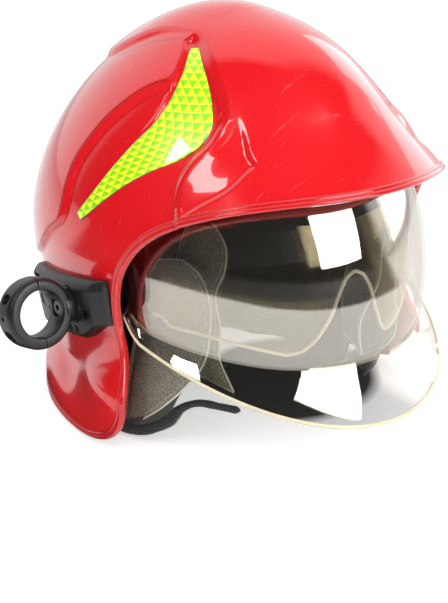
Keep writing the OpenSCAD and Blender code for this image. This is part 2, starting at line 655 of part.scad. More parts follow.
module ratchet_wheel() {
    from = ratchet_y + housing_t + side_gap;
    color("#0f0f10") difference() {
        along_y(from, wheel_w, wheel_r);
        along_y(from - 1, wheel_w + 2, spindle_r + run_clear);
        for (i = [0:wheel_grips - 1]) rotate_about_wheel(360 * i / wheel_grips)
            translate([wheel_r + 1.2, 0, 0]) along_y(from - 1, wheel_w + 2, 2.4);
    }
}
module rotate_about_wheel(a) {
    translate([0, 0, ratchet_z]) rotate([0, a, 0]) translate([0, 0, -ratchet_z]) children();
}

// Place of the clamp ring and its swivel along X
ring_x = shell_x(ring_y, ring_z) + ring_out;
boss_x = -(ring_x - ring_r) + 0.5;
base_t = 4.5;
base_x = boss_x + side_gap + base_t;
swivel_r = 2.6;
screw_head_deep = 3.4;
screw_seat = -(ring_x - torch_r) + screw_head_deep;

// Side bracket on the wearer's right, in its own frame: u runs rearward, v runs up
bracket_seat = 0.1;
bracket_rim_t = 3;
bracket_cols = 22;
bracket_rows = 12;
rail_v = -1;
rail_h = 11;
rail_deep = 2.6;
base_r = 12;
function bracket_p(u, v, t) = let(
    y = bracket_y + u * cos(bracket_fall) + v * sin(bracket_fall),
    z = bracket_z - u * sin(bracket_fall) + v * cos(bracket_fall), p = [-shell_x(y, z), y, z])
    [p.x - relief(p) - t, y, z];
function bracket_low(u) = -bracket_h / 2 + 11 * smooth((-20 - u) / (bracket_l / 2 - 20));
function bracket_thick(u, v) = let(
    top = bracket_h / 2 - v, low = v - bracket_low(u), end = u - bracket_front(v),
    rail = smooth((rail_h / 2 + 1.5 - abs(v - rail_v)) / 1.5) * smooth((end - 22) / 4))
    bracket_rim_t + (bracket_t - bracket_rim_t) * sqrt(clamp01(top / 6)) * sqrt(clamp01((low + 1) / 4))
    * sqrt(clamp01((end + 0.5) / 9)) - rail * rail_deep;
// Front end of the bracket, parallel to the edge trim
bracket_lean = 0.12;
bracket_trim_gap = 2.8;
function bracket_front(v) = -bracket_l / 2 + bracket_trim_gap - bracket_lean * (v + bracket_h / 2);
function bracket_grid(front) = [for (i = [0:bracket_cols])
    [for (j = [0:bracket_rows]) let(
    v = mix(bracket_h / 2, bracket_low(bracket_l * (i / bracket_cols - 0.5)), j / bracket_rows),
    u = mix(bracket_front(v), bracket_l / 2, i / bracket_cols))
    bracket_p(u, v, front ? bracket_thick(u, v) : bracket_seat)]];
module on_bracket(u, v) {
    translate([0, bracket_y, bracket_z]) rotate([-bracket_fall, 0, 0]) translate([0, u, v]) children();
}
// A pocket cut d millimetres deep into the bracket's face
module pocket(u, v, w, h, d) {
    x = bracket_p(u, v, bracket_thick(u, v)).x;
    on_bracket(u, v) translate([x - 8, -w / 2, -h / 2]) cube([8 + d, w, h]);
}
pocket_w = 8;
pocket_h = 6;
pocket_pitch = 12;
rib_w = 6;
screw_us = [-36, 38];
screw_head_r = 3.2;
screw_deep = 3;
function screw_x(u) = bracket_p(u, rail_v, bracket_thick(u, rail_v)).x + screw_deep;
module torch_bracket() {
    color("#26272a") difference() {
        slab(bracket_grid(true), bracket_grid(false));
        for (i = [0:pocket_n - 1]) pocket(-22 + i * pocket_pitch, 10.5, pocket_w, pocket_h, 3.5);
        for (i = [0:pocket_n - 1]) pocket(-16 + i * pocket_pitch, -14, rib_w, 8, 3.5);
        for (u = screw_us) on_bracket(u, rail_v) along_x(screw_x(u) - 20, 20, screw_head_r + 0.2);
        translate([0, ring_y, ring_z]) along_x(base_x - 20, 20, base_r + 0.2);
    }
}
module bracket_screws() {
    color("#8a8d92") for (u = screw_us) on_bracket(u, rail_v) difference() {
        along_x(screw_x(u) - 2.2, 2.2, screw_head_r);
        translate([screw_x(u) - 3.2, 0, 0]) rotate([0, 90, 0]) cylinder(h = 2.2, r = 1.4, $fn = 6);
    }
}

module at_ring() {
    translate([-ring_x, ring_y, ring_z]) rotate([-ring_rest, 0, 0]) children();
}
module torch_swivel_base() {
    color("#202124") translate([0, ring_y, ring_z]) difference() {
        along_x(boss_x + side_gap, base_x - boss_x - side_gap, base_r);
        along_x(boss_x, base_x - boss_x - 1, swivel_r);
    }
}
module ring_body() {
    c = 2;
    rotate([90, 0, 0]) translate([0, 0, -ring_w / 2]) rotate_extrude() polygon([
        [torch_r, 1], [torch_r + 1, 0], [ring_r - c, 0], [ring_r, c],
        [ring_r, ring_w - c], [ring_r - c, ring_w], [torch_r + 1, ring_w], [torch_r, ring_w - 1]]);
}
module torch_ring_inner() {
    color("#232427") difference() {
        union() {
            at_ring() ring_body();
            translate([0, ring_y, ring_z]) along_x(boss_x - 6, 6, base_r - 1.5);
        }
        at_ring() translate([-60, -30, -30]) cube([60, 60, 60]);
        at_ring() rotate([90, 0, 0]) cylinder(h = 40, r = torch_r, center = true);
        translate([0, ring_y, ring_z]) along_x(-ring_x, 30, swivel_r + run_clear);
        translate([0, ring_y, ring_z]) along_x(-ring_x, ring_x + screw_seat, 5);
    }
}
module torch_ring_outer() {
    color("#232427") difference() {
        at_ring() ring_body();
        at_ring() translate([0, -30, -30]) cube([60, 60, 60]);
        for (a = [-32, 32]) at_ring() rotate([0, a, 0]) translate([-ring_r - 5, 0, 0]) {
            for (y = [-2, 2]) translate([0, y, 0]) along_x(0, 20, 3);
            translate([0, -2, -3]) cube([20, 4, 6]);
        }
    }
}
module torch_swivel_screw() {
    color("#9a9da2") translate([0, ring_y, ring_z]) difference() {
        union() {
            along_x(screw_seat - 3, 2.7, 4.6);
            along_x(screw_seat - 1, base_x - screw_seat - 1, swivel_r);
        }
        translate([screw_seat - 4, 0, 0]) rotate([0, 90, 0]) cylinder(h = 2.6, r = 2, $fn = 6);
    }
}

// Ear flap: a padded leather panel hanging inside the shell's edge (y, z)
flap_rear = [[-22, 127], [-10, 112], [-1, 98], [4, 74], [4, 50], [6, 24], [7, 9]];
flap_fore = [[-40, 131], [-52, 123], [-58, 107], [-58, 88], [-54, 62], [-32, 33], [2, 8]];
flap_seat = -0.3;
flap_in = 15;
flap_out = 9;
function flap_x(y, z) = liner_half_w + flap_seat - flap_in * pow(clamp01((-18 - y) / 44), 1.4)
    + flap_out * smooth((88 - z) / 60);
// Leather panel between a rear and a fore edge, thickest in its middle
module leather(rear, fore, t, inner = false) {
    r = spline(rear, 3);
    f = spline(fore, 3);
    n = len(r);
    grid = [for (h = [1, 0]) [for (i = [0:n - 1]) [for (j = [0:8]) let(
        q = mix(r[i], f[i], j / 8), e = min(j, 8 - j) / 4, g = min(i, n - 1 - i) / 4,
        puff = sqrt(clamp01(e)) * sqrt(clamp01(g)), at = inner ? pad_x(q.x, q.y) : flap_x(q.x, q.y))
        [at + t * (h > 0 ? 0.55 + 0.45 * puff : 0.2 - 0.2 * puff), q.x, q.y]]]];
    slab(grid[0], grid[1], true);
}
module ear_flap_left() {
    color("#6b6a5c") leather(flap_rear, flap_fore, flap_t);
}
module ear_flap_right() {
    color("#6b6a5c") mirror([1, 0, 0]) leather(flap_rear, flap_fore, flap_t);
}

// Cheek pad: a second leather panel nearer to the face, below the liner's edge (y, z)
pad_rear = [[-34, 154], [-27, 139], [-21, 121], [-13, 104], [-10, 86], [-14, 64], [-24, 44]];
pad_fore = [[-52, 154], [-60, 141], [-59, 125], [-53, 110], [-53, 88], [-44, 60], [-52, 40]];
pad_gap = 11;
pad_in = 13;
pad_low_in = 14;
function pad_x(y, z) = liner_half_w - pad_gap - pad_in * pow(clamp01((-12 - y) / 50), 1.5)
    - pad_low_in * smooth((105 - z) / 60);
module cheek_pad_left() {
    color("#77745f") leather(pad_rear, pad_fore, pad_leather_t, true);
}
module cheek_pad_right() {
    color("#77745f") mirror([1, 0, 0]) leather(pad_rear, pad_fore, pad_leather_t, true);
}

// Soft hem under the leather, from the ear flap's lower end to the cheek pad (x from the liner's side, y, z)
hem_path = [for (q = [[13, 12, 6], [11, -3, 8], [5, -24, 12], [-3, -40, 23], [-13, -44, 27],
    [-23, -44, 27], [-33, -50, 30]]) [liner_half_w + q.x, q.y, q.z]];
hem_r = 4.5;
module flap_hem() {
    c = spline(hem_path, 3);
    n = len(c);
    rows = [for (i = [0:n - 1]) let(
        d = unit(c[min(i + 1, n - 1)] - c[max(i - 1, 0)]), u = unit(cross(d, [0, 0, 1])), v = cross(u, d),
        r = i == 0 || i == n - 1 ? hem_r * 0.6 : hem_r)
        [for (a = [0:45:315]) c[i] + r * (u * cos(a) + v * sin(a))]];
    caps = [[for (j = [7:-1:0]) j], [for (j = [0:7]) (n - 1) * 8 + j]];
    polyhedron([for (q = rows) each q], concat(loop_faces(n, 8), caps));
}
module flap_hem_left() {
    color("#141416") flap_hem();
}
module flap_hem_right() {
    color("#141416") mirror([1, 0, 0]) flap_hem();
}

// Neck curtain: hanging cloth with folds, from ear to ear round the back
curtain_top = 98;
curtain_low = 5;
curtain_turn = 92;
curtain_cols = 56;
curtain_rows = 6;
function section_k(z) = pow(1 - pow(abs(z - shell_mid_z) / shell_down, side_power), 1 / side_power);
function curtain_p(b, z, off) = let(
    k = section_k(z), s = smooth((curtain_top - z) / 45),
    o = shell_wall - 0.2 + 1.2 * smooth((curtain_top - z) / 8) + 6 * s + off
    + fold_depth * s * (0.5 + 0.5 * cos(fold_n * b * 2)),
    w = shell_half_w * k - o, l = (cos(b) > 0 ? shell_rear : shell_front) * k - o)
    [w * sin(b), shell_mid_y + l * cos(b), z];
function curtain_grid(off) = [for (i = [0:curtain_cols])
    let(b = mix(-curtain_turn, curtain_turn, i / curtain_cols))
    [for (j = [0:curtain_rows]) curtain_p(b, mix(curtain_top, curtain_low, j / curtain_rows), off)]];
module neck_curtain() {
    color("#17171a") slab(curtain_grid(0), curtain_grid(curtain_t));
}

// Chin strap in two halves with a snap buckle, stowed behind the ear flaps
webbing_w = 20;
webbing_t = 1.6;
strap_y = 24;
strap_x = head_half_w + 3;
strap_top = liner_ear_z - 0.3;
right_strap_l = 36;
left_strap_l = 30;
module webbing(side, length) {
    translate([side * strap_x - webbing_t / 2, strap_y - webbing_w / 2, strap_top - length])
        cube([webbing_t, webbing_w, length]);
}
module chin_strap_right() {
    color("#151517") webbing(-1, right_strap_l);
}
module chin_strap_left() {
    color("#151517") webbing(1, left_strap_l);
}
buckle_l = 34;
buckle_w = 28;
buckle_t = 9;
slot_w = 22;
slot_t = 5;
slot_l = 23;
plug_w = 26;
plug_base = 12;
prong_l = 20;
module buckle_socket() {
    z = strap_top - right_strap_l - buckle_l;
    color("#101012") difference() {
        translate([-strap_x - buckle_t / 2, strap_y - buckle_w / 2, z]) cube([buckle_t, buckle_w, buckle_l]);
        translate([-strap_x - slot_t / 2, strap_y - slot_w / 2, z - 1]) cube([slot_t, slot_w, slot_l + 1]);
        for (s = [-1, 1]) translate([-strap_x - slot_t / 2, strap_y + s * 15 - 6, z + 10])
            cube([slot_t, 12, 10]);
    }
}
module buckle_plug() {
    z = strap_top - left_strap_l - plug_base;
    color("#101012") {
        translate([strap_x - buckle_t / 2, strap_y - plug_w / 2, z]) cube([buckle_t, plug_w, plug_base]);
        for (s = [-1, 0, 1]) translate([strap_x - 2, strap_y + s * 8 - 2, z - prong_l]) cube([4, 4, prong_l]);
    }
}

shell();
edge_trim();
sticker_right();
sticker_left();
impact_liner();
crown_straps();
headband();
brow_pad();
nape_pad();
ratchet_housing();
ratchet_spindle();
ratchet_wheel();
face_shield();
shield_arm_right();
shield_arm_left();
eye_visor();
visor_arm_right();
visor_arm_left();
pivot_plate_right();
pivot_plate_left();
pivot_pin_right();
pivot_pin_left();
pivot_spacer_right();
pivot_spacer_left();
torch_bracket();
bracket_screws();
torch_swivel_base();
torch_ring_inner();
torch_ring_outer();
torch_swivel_screw();
ear_flap_right();
ear_flap_left();
cheek_pad_right();
cheek_pad_left();
flap_hem_right();
flap_hem_left();
neck_curtain();
chin_strap_right();
chin_strap_left();
buckle_socket();
buckle_plug();
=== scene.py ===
"""Fire helmet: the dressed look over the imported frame, in metres, with the front at -Y."""
import json
import logging
import math
from dataclasses import dataclass
from enum import Enum
from typing import Callable, Sequence

import bmesh
import bpy
import numpy as np
from mathutils import Matrix, Vector

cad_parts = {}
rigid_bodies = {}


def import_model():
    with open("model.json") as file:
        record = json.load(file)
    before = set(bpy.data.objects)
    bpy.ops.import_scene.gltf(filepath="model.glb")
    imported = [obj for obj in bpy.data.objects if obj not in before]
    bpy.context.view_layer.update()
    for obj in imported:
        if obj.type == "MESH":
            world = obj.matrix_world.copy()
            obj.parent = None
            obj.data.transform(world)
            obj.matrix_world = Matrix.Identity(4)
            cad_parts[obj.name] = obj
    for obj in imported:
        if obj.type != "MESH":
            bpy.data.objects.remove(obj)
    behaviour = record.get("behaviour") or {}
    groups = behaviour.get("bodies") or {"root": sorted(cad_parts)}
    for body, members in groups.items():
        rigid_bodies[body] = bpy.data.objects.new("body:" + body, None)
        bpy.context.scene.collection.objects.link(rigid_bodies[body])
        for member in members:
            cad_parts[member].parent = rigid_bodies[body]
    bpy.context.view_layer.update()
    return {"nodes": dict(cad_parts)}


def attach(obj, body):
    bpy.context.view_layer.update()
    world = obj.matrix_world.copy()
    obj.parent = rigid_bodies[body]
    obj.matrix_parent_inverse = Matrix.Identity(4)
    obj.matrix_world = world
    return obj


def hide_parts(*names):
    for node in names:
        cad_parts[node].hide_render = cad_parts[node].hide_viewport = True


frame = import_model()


LOG = logging.getLogger("helmet")
MM = 0.001
TINY = 1e-9
Array = np.ndarray
Curve = Sequence[Sequence[float]]
Pair = tuple[float, float]
Place = Colour = tuple[float, float, float]
Faces = list[tuple[int, ...]]
Piece = bpy.types.Object
Material = bpy.types.Material
Node = bpy.types.Node
Socket = bpy.types.NodeSocket
X, Z = np.array([1.0, 0.0, 0.0]), np.array([0.0, 0.0, 1.0])


class Side(Enum):
    """Which side of the wearer a piece is on, as the sign of X."""

    RIGHT = -1
    LEFT = 1

    @property
    def tag(self) -> str:
        """The side as it ends the name of a piece or node."""
        return self.name.lower()


class Body(Enum):
    """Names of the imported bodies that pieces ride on."""

    HELMET = "helmet"
    SHIELD = "shield_body"
    VISOR = "visor_body"
    TORCH = "torch_ring"


# Numbers

def smooth(t: Array | float) -> Array:
    """Smooth step of t, held between 0 and 1."""
    c = np.clip(t, 0.0, 1.0)
    return c * c * (3 - 2 * c)


def soft_clip(t: Array, k: float) -> Array:
    """Clamps values with rounded corners.

    Args:
        t: the values.
        k: width over which each corner is rounded.

    Returns:
        The values, held between 0 and 1.
    """
    low = np.where(t > k, t, np.where(t < -k, 0.0, (t + k) ** 2 / (4 * k)))
    u = 1 - low
    return 1 - np.where(u > k, u, np.where(u < -k, 0.0, (u + k) ** 2 / (4 * k)))


def unit(v: Array) -> Array:
    """Unit vectors along the last axis."""
    return v / np.maximum(np.linalg.norm(v, axis=-1, keepdims=True), TINY)


def spline(points: Curve, steps: int) -> Array:
    """Smooth curve through control points.

    Args:
        points: the control points, of any dimension.
        steps: steps between two control points.

    Returns:
        The points of the curve, one row each.
    """
    c = np.asarray(points, float)
    out = []
    for i in range(len(c) - 1):
        a, b, d, e = c[max(i - 1, 0)], c[i], c[i + 1], c[min(i + 2, len(c) - 1)]
        for j in range(steps):
            t = j / steps
            out.append(0.5 * (2 * b + t * (d - a) + t * t * (2 * a - 5 * b + 4 * d - e)
                              + t ** 3 * (3 * b - a - 3 * d + e)))
    out.append(c[-1])
    return np.array(out)


def line_distance(p: Array, line: Array) -> Array:
    """Distance of each point from a line of straight steps.

    Args:
        p: the points.
        line: the corners of the line.

    Returns:
        The distances.
    """
    best = np.full(len(p), np.inf)
    for a, b in zip(line[:-1], line[1:]):
        d = b - a
        t = np.clip(((p - a) @ d) / max(d @ d, TINY), 0, 1)
        best = np.minimum(best, np.linalg.norm(p - a - t[:, None] * d, axis=1))
    return best


def inside(p: Array, loop: Array) -> Array:
    """Whether each (y, z) place is inside a closed loop.

    Args:
        p: the places.
        loop: the corners of the loop.

    Returns:
        Whether each place is inside.
    """
    hit = np.zeros(len(p), int)
    for a, b in zip(loop, np.roll(loop, -1, axis=0)):
        cross = (a[1] > p[:, 1]) != (b[1] > p[:, 1])
        if a[1] != b[1]:
            x = (b[0] - a[0]) * (p[:, 1] - a[1]) / (b[1] - a[1]) + a[0]
            hit += cross & (p[:, 0] < x)
    return hit % 2 == 1


def lengths(path: Array) -> Array:
    """How far along a path each of its points is."""
    return np.concatenate([[0], np.cumsum(np.linalg.norm(np.diff(path, axis=0), axis=1))])


def resample(path: Array, n: int) -> Array:
    """The same path with n points at equal steps.

    Args:
        path: the points of the path.
        n: how many points it gets.

    Returns:
        The new points.
    """
    s = lengths(path)
    t = np.linspace(0, s[-1], n)
    return np.stack([np.interp(t, s, path[:, k]) for k in range(path.shape[1])], 1)


# Meshes, given in millimetres and kept in metres


def link(name: str, data: object) -> Piece:
    """A new object in the scene around a mesh, lamp or camera."""
    obj = bpy.data.objects.new(name, data)
    bpy.context.scene.collection.objects.link(obj)
    return obj


def new_mesh(name: str, verts: Array, faces: Faces) -> Piece:
    """A smooth-shaded mesh object at the origin, with its faces turned outwards.

    Args:
        name: the piece's name.
        verts: its points in millimetres.
        faces: its faces as point numbers.

    Returns:
        The new object, linked to the scene.
    """
    me = bpy.data.meshes.new(name)
    me.from_pydata((np.asarray(verts) * MM).tolist(), [], faces)
    me.update()
    bm = bmesh.new()
    bm.from_mesh(me)
    bmesh.ops.recalc_face_normals(bm, faces=bm.faces)
    bm.to_mesh(me)
    bm.free()
    me.shade_smooth()
    return link(name, me)


def loft_faces(rows: int, cols: int, closed: bool = False) -> Faces:
    """Quads between closed rows of points.

    Args:
        rows: how many rows there are.
        cols: how many points a row has.
        closed: whether the last row joins the first.

    Returns:
        The faces as point numbers.
    """
    out = []
    for i in range(rows if closed else rows - 1):
        k = (i + 1) % rows
        for j in range(cols):
            m = (j + 1) % cols
            out.append((i * cols + j, i * cols + m, k * cols + m, k * cols + j))
    return out


def cap_faces(rows: int, cols: int) -> Faces:
    """Fans that close a loft's two ends on the two points after its rows.

    Args:
        rows: how many rows the loft has.
        cols: how many points a row has.

    Returns:
        The faces as point numbers.
    """
    end = rows * cols
    last = end - cols
    first_fan = [(end, (j + 1) % cols, j) for j in range(cols)]
    return first_fan + [(end + 1, last + j, last + (j + 1) % cols) for j in range(cols)]


def loft(name: str, rings: Array, closed: bool = False) -> Piece:
    """A skin over rings of points.

    Args:
        name: the piece's name.
        rings: the points, as (rings, points, 3).
        closed: whether the last ring joins the first; both are capped if not.

    Returns:
        The new object.
    """
    m, n, _ = rings.shape
    verts = rings.reshape(-1, 3)
    faces = loft_faces(m, n, closed)
    if not closed:
        verts = np.concatenate([verts, rings[0].mean(0)[None], rings[-1].mean(0)[None]])
        faces += cap_faces(m, n)
    return new_mesh(name, verts, faces)


def slab(name: str, front: Array, back: Array) -> Piece:
    """A closed sheet between two grids of points.

    Args:
        name: the piece's name.
        front: the points of one face, as (rows, columns, 3).
        back: the points of the other face, in the same order.

    Returns:
        The new object.
    """
    m, n, _ = front.shape
    rings = np.concatenate([front, back[:, ::-1]], axis=1)
    faces = loft_faces(m, 2 * n)
    for e in (0, m - 1):
        b = e * 2 * n
        faces += [(b + j, b + j + 1, b + 2 * n - 2 - j, b + 2 * n - 1 - j) for j in range(n - 1)]
    return new_mesh(name, rings.reshape(-1, 3), faces)


def frames(path: Array, closed: bool, hint: Array) -> tuple[Array, Array]:
    """Directions across a path.

    Args:
        path: the points of the path.
        closed: whether the path is a ring.
        hint: a direction at each point that up stays near.

    Returns:
        The side and up directions at each point.
    """
    if closed:
        d = unit(np.roll(path, -1, 0) - np.roll(path, 1, 0))
    else:
        d = unit(np.gradient(path, axis=0))
    up = unit(hint - (hint * d).sum(1, keepdims=True) * d)
    return np.cross(d, up), up


def sweep(name: str, path: Array, profile: Array, hint: Array, closed: bool = False,
          scale: Array | None = None) -> Piece:
    """A profile of (side, up) millimetres swept along a path.

    Args:
        name: the piece's name.
        path: the points it follows, in millimetres.
        profile: the closed outline of its section.
        hint: the up direction, one for all or one for each point.
        closed: whether the path is a ring.
        scale: a factor on the section at each point.

    Returns:
        The new object.
    """
    side, up = frames(path, closed, np.broadcast_to(np.asarray(hint, float), path.shape))
    s = (np.ones(len(path)) if scale is None else scale)[:, None, None]
    return loft(name, path[:, None] + side[:, None] * profile[None, :, :1] * s
                + up[:, None] * profile[None, :, 1:] * s, closed)


def oval(a: float, b: float, n: int = 12, power: float = 1.0) -> Array:
    """Outline of an ellipse, or of a rounder box.

    Args:
        a: half its width.
        b: half its height.
        n: how many points it has.
        power: 1 for an ellipse, and less for a fuller shape.

    Returns:
        The points, one row each.
    """
    t = np.linspace(0, 2 * math.pi, n, endpoint=False)
    c, s = np.cos(t), np.sin(t)
    return np.stack([a * np.sign(c) * np.abs(c) ** power, b * np.sign(s) * np.abs(s) ** power], 1)


def pick(*pieces: Piece) -> None:
    """Selects these pieces alone, with the first one active."""
    bpy.ops.object.select_all(action="DESELECT")
    for piece in pieces:
        piece.select_set(True)
    bpy.context.view_layer.objects.active = pieces[0]


def join(name: str, parts: Sequence[Piece]) -> Piece:
    """Joins parts in the mesh of the first.

    Args:
        name: the name of the whole.
        parts: the objects to join.

    Returns:
        The one object that is left.
    """
    pick(*parts)
    bpy.ops.object.join()
    parts[0].name = name
    parts[0].data.name = name
    return parts[0]


def mirrored(obj: Piece, name: str) -> Piece:
    """A copy on the other side of the helmet.

    Args:
        obj: the piece to copy.
        name: the copy's name.

    Returns:
        The copy, with its faces still outwards.
    """
    me = obj.data.copy()
    me.transform(Matrix.Scale(-1, 4, (1, 0, 0)))
    me.flip_normals()
    me.name = name
    return link(name, me)


def both_sides(made: Piece, side: Side = Side.LEFT) -> list[tuple[Side, Piece]]:
    """A piece whose name ends in its side, and its mirror image, each with its side.

    Args:
        made: the piece.
        side: the side that it is on.

    Returns:
        The two sides and pieces, the given one first.
    """
    other = Side(-side.value)
    return [(side, made), (other, mirrored(made, made.name.replace(side.tag, other.tag)))]


def set_attribute(obj: Piece, name: str, values: Array) -> None:
    """Stores one number at each point of a mesh for its material to read."""
    att = obj.data.attributes.new(name, "FLOAT", "POINT")
    att.data.foreach_set("value", np.asarray(values, np.float32))


def set_uv(obj: Piece, uv: Array) -> None:
    """Lays a map in metres on a mesh.

    Args:
        obj: the piece.
        uv: the (u, v) of each of its points, in millimetres.
    """
    layer = obj.data.uv_layers.new(name="UVMap")
    idx = np.zeros(len(obj.data.loops), np.int32)
    obj.data.loops.foreach_get("vertex_index", idx)
    layer.data.foreach_set("uv", (np.asarray(uv, float)[idx] * MM).astype(np.float32).ravel())


def add_modifier(obj: Piece, kind: str, **values: object) -> None:
    """Adds a modifier to a piece and applies it.

    Args:
        obj: the piece.
        kind: the modifier's type.
        values: the modifier's settings.
    """
    pick(obj)
    mod = obj.modifiers.new(kind.lower(), kind)
    for key, value in values.items():
        setattr(mod, key, value)
    bpy.ops.object.modifier_apply(modifier=mod.name)


def cut(obj: Piece, tools: Sequence[Piece], operation: str = "DIFFERENCE") -> None:
    """Cuts tools from a piece, or joins them to it, and removes them.

    Args:
        obj: the piece.
        tools: the objects that cut it.
        operation: DIFFERENCE to cut or UNION to join.
    """
    for tool in tools:
        add_modifier(obj, "BOOLEAN", object=tool, operation=operation, solver="EXACT")
        bpy.data.objects.remove(tool)


def shade_by_angle(obj: Piece, angle: float) -> None:
    """Smooth shading that keeps edges over an angle in degrees sharp."""
    pick(obj)
    bpy.ops.object.shade_smooth_by_angle(angle=math.radians(angle))


def round_edges(obj: Piece, width: float, segments: int, angle: float) -> None:
    """Bevels the edges of a piece that are sharper than an angle.

    Args:
        obj: the piece.
        width: the bevel's width in millimetres.
        segments: how many steps the bevel has.
        angle: the least angle between faces, in degrees.
    """
    add_modifier(obj, "BEVEL", width=width * MM, segments=segments, limit_method="ANGLE",
                 angle_limit=math.radians(angle), harden_normals=False)
    shade_by_angle(obj, 40)


def cylinder(name: str, centre: Sequence[float], radius: float, depth: float, sides: int = 48) -> Piece:
    """A cylinder along X with its place in its mesh, to cut or join.

    Args:
        name: the object's name.
        centre: its middle in millimetres.
        radius: its radius in millimetres.
        depth: its length in millimetres.
        sides: how many sides it has.

    Returns:
        The new object.
    """
    bpy.ops.object.select_all(action="DESELECT")
    bpy.ops.mesh.primitive_cone_add(
        vertices=sides, radius1=radius * MM, radius2=radius * MM, depth=depth * MM,
        location=Vector(centre) * MM, rotation=(0, math.pi / 2, 0))
    obj = bpy.context.active_object
    obj.name = name
    bpy.ops.object.transform_apply(location=True, rotation=True, scale=True)
    return obj


# Materials


class Tree:
    """Short calls for the nodes of one material or node group."""

    def __init__(self, tree: bpy.types.NodeTree) -> None:
        """Keeps the tree's nodes and links."""
        self.nodes = tree.nodes
        self.links = tree.links

    def put(self, socket: Socket, value: object) -> None:
        """Sets one input of a node.

        Args:
            socket: the input.
            value: a socket to link to it, or its value; a colour may leave out its alpha.
        """
        if isinstance(value, Socket):
            self.links.new(value, socket)
        elif socket.type == "RGBA" and len(value) == 3:
            socket.default_value = (*value, 1)
        else:
            socket.default_value = value

    def fill(self, node: Node, inputs: dict) -> Node:
        """Sets a node's inputs, by name or number, and gives the node back."""
        for key, value in inputs.items():
            self.put(node.inputs[key], value)
        return node

    def add(self, kind: str, inputs: dict | None = None, **props: object) -> Node:
        """Adds a node.

        Args:
            kind: the node's type name after ShaderNode, or its whole name.
            inputs: values or sockets for its inputs, by name or number.
            props: settings of the node itself.

        Returns:
            The new node.
        """
        node = self.nodes.new(kind if kind.startswith("Node") else "ShaderNode" + kind)
        for key, value in props.items():
            setattr(node, key, value)
        return self.fill(node, inputs or {})

    def math(self, operation: str, *values: object, clamp: bool = False) -> Socket:
        """A maths step on values or sockets."""
        return self.add("Math", dict(enumerate(values)), operation=operation, use_clamp=clamp).outputs[0]

    def plus(self, a: object, b: object, clamp: bool = False) -> Socket:
        """The sum of two numbers."""
        return self.math("ADD", a, b, clamp=clamp)

    def minus(self, a: object, b: object) -> Socket:
        """The first number less the second."""
        return self.math("SUBTRACT", a, b)

    def times(self, a: object, b: object, clamp: bool = False) -> Socket:
        """The product of two numbers."""
        return self.math("MULTIPLY", a, b, clamp=clamp)

    def vector(self, operation: str, a: object, b: object = (0, 0, 0), out: str = "Value") -> Socket:
        """A step on vectors: its number, or its Vector."""
        return self.add("VectorMath", {0: a, 1: b}, operation=operation).outputs[out]

    def noise(self, vector: Socket, scale: object, detail: float = 3.0, rough: float = 0.5) -> Socket:
        """Noise values, with scale in waves per metre."""
        return self.add("TexNoise", {"Vector": vector, "Scale": scale, "Detail": detail,
                                     "Roughness": rough}).outputs["Fac"]

    def ramp(self, value: Socket, *stops: Pair) -> Socket:
        """A grey ramp over a value.

        Args:
            value: the number that it reads.
            stops: its (place, level) stops.

        Returns:
            Its colour.
        """
        node = self.add("ValToRGB", {0: value})
        for point, (place, level) in zip(node.color_ramp.elements, stops):
            point.position = place
            point.color = (level, level, level, 1)
        return node.outputs["Color"]

    def blend(self, factor: object, a: object, b: object) -> Socket:
        """A colour between two colours or sockets."""
        return self.add("Mix", {0: factor, 6: a, 7: b}, data_type="RGBA").outputs[2]

    def bump(self, height: Socket, distance: float, strength: float = 1.0) -> Socket:
        """A normal from heights, with the distance in metres."""
        return self.add("Bump", {"Height": height, "Distance": distance, "Strength": strength}).outputs[0]

    def place(self) -> Socket:
        """Object coordinates, in metres."""
        return self.add("TexCoord").outputs["Object"]

    def number(self, name: str) -> Socket:
        """A number stored at the points of the piece."""
        return self.add("Attribute", attribute_name=name).outputs["Fac"]


def srgb(r: int, g: int, b: int) -> Colour:
    """Linear colour of an sRGB one given as 0 to 255."""
    return tuple((c / 255 / 12.92) if c <= 10 else ((c / 255 + 0.055) / 1.055) ** 2.4 for c in (r, g, b))


def darker(colour: Colour, share: float) -> Colour:
    """A colour at a share of its level."""
    return tuple(c * share for c in colour)


def pebble(tree: Tree, at: Node, out: Node) -> None:
    """Leather grain: small rounded cells over soft creases, with painted shade in the hollows between the
    cells.

    Args:
        tree: the group's tree.
        at: its input node.
        out: its output node.
    """
    vector, size = at.outputs["Vector"], at.outputs["Cells"]
    cell, edge = (tree.add("TexVoronoi", {"Vector": vector, "Scale": size, "Randomness": 0.9},
                           feature=feature).outputs["Distance"] for feature in ("F1", "DISTANCE_TO_EDGE"))
    crease = tree.noise(vector, tree.times(size, 0.16), 5.0, 0.65)
    top = tree.times(tree.math("MINIMUM", tree.times(edge, 6.0), 1.0), tree.minus(1.15, cell))
    # Shade: painted shade, darkest in the hollows between cells, with the creases' tone over it.
    tree.fill(out, {"Height": tree.plus(top, tree.times(crease, at.outputs["Creases"])),
                    "Shade": tree.times(top, tree.plus(crease, 0.35), clamp=True)})


def weave(tree: Tree, at: Node, out: Node) -> None:
    """Plain weave: crossing threads with slubs.

    Args:
        tree: the group's tree.
        at: its input node.
        out: its output node.
    """
    vector, threads = at.outputs["Vector"], at.outputs["Threads"]
    part = tree.add("SeparateXYZ", {0: vector}).outputs
    turn = tree.times(threads, 2 * math.pi)
    warp = tree.math("SINE", tree.times(tree.plus(part[0], part[1]), turn))
    cross = tree.times(warp, tree.math("SINE", tree.times(part[2], turn)))
    slub = tree.noise(vector, tree.times(threads, 0.3), 4.0)
    tree.fill(out, {"Height": tree.plus(tree.times(cross, 0.5), tree.times(slub, 0.8)),
                    "Shade": tree.plus(tree.times(cross, 0.18), slub, clamp=True)})


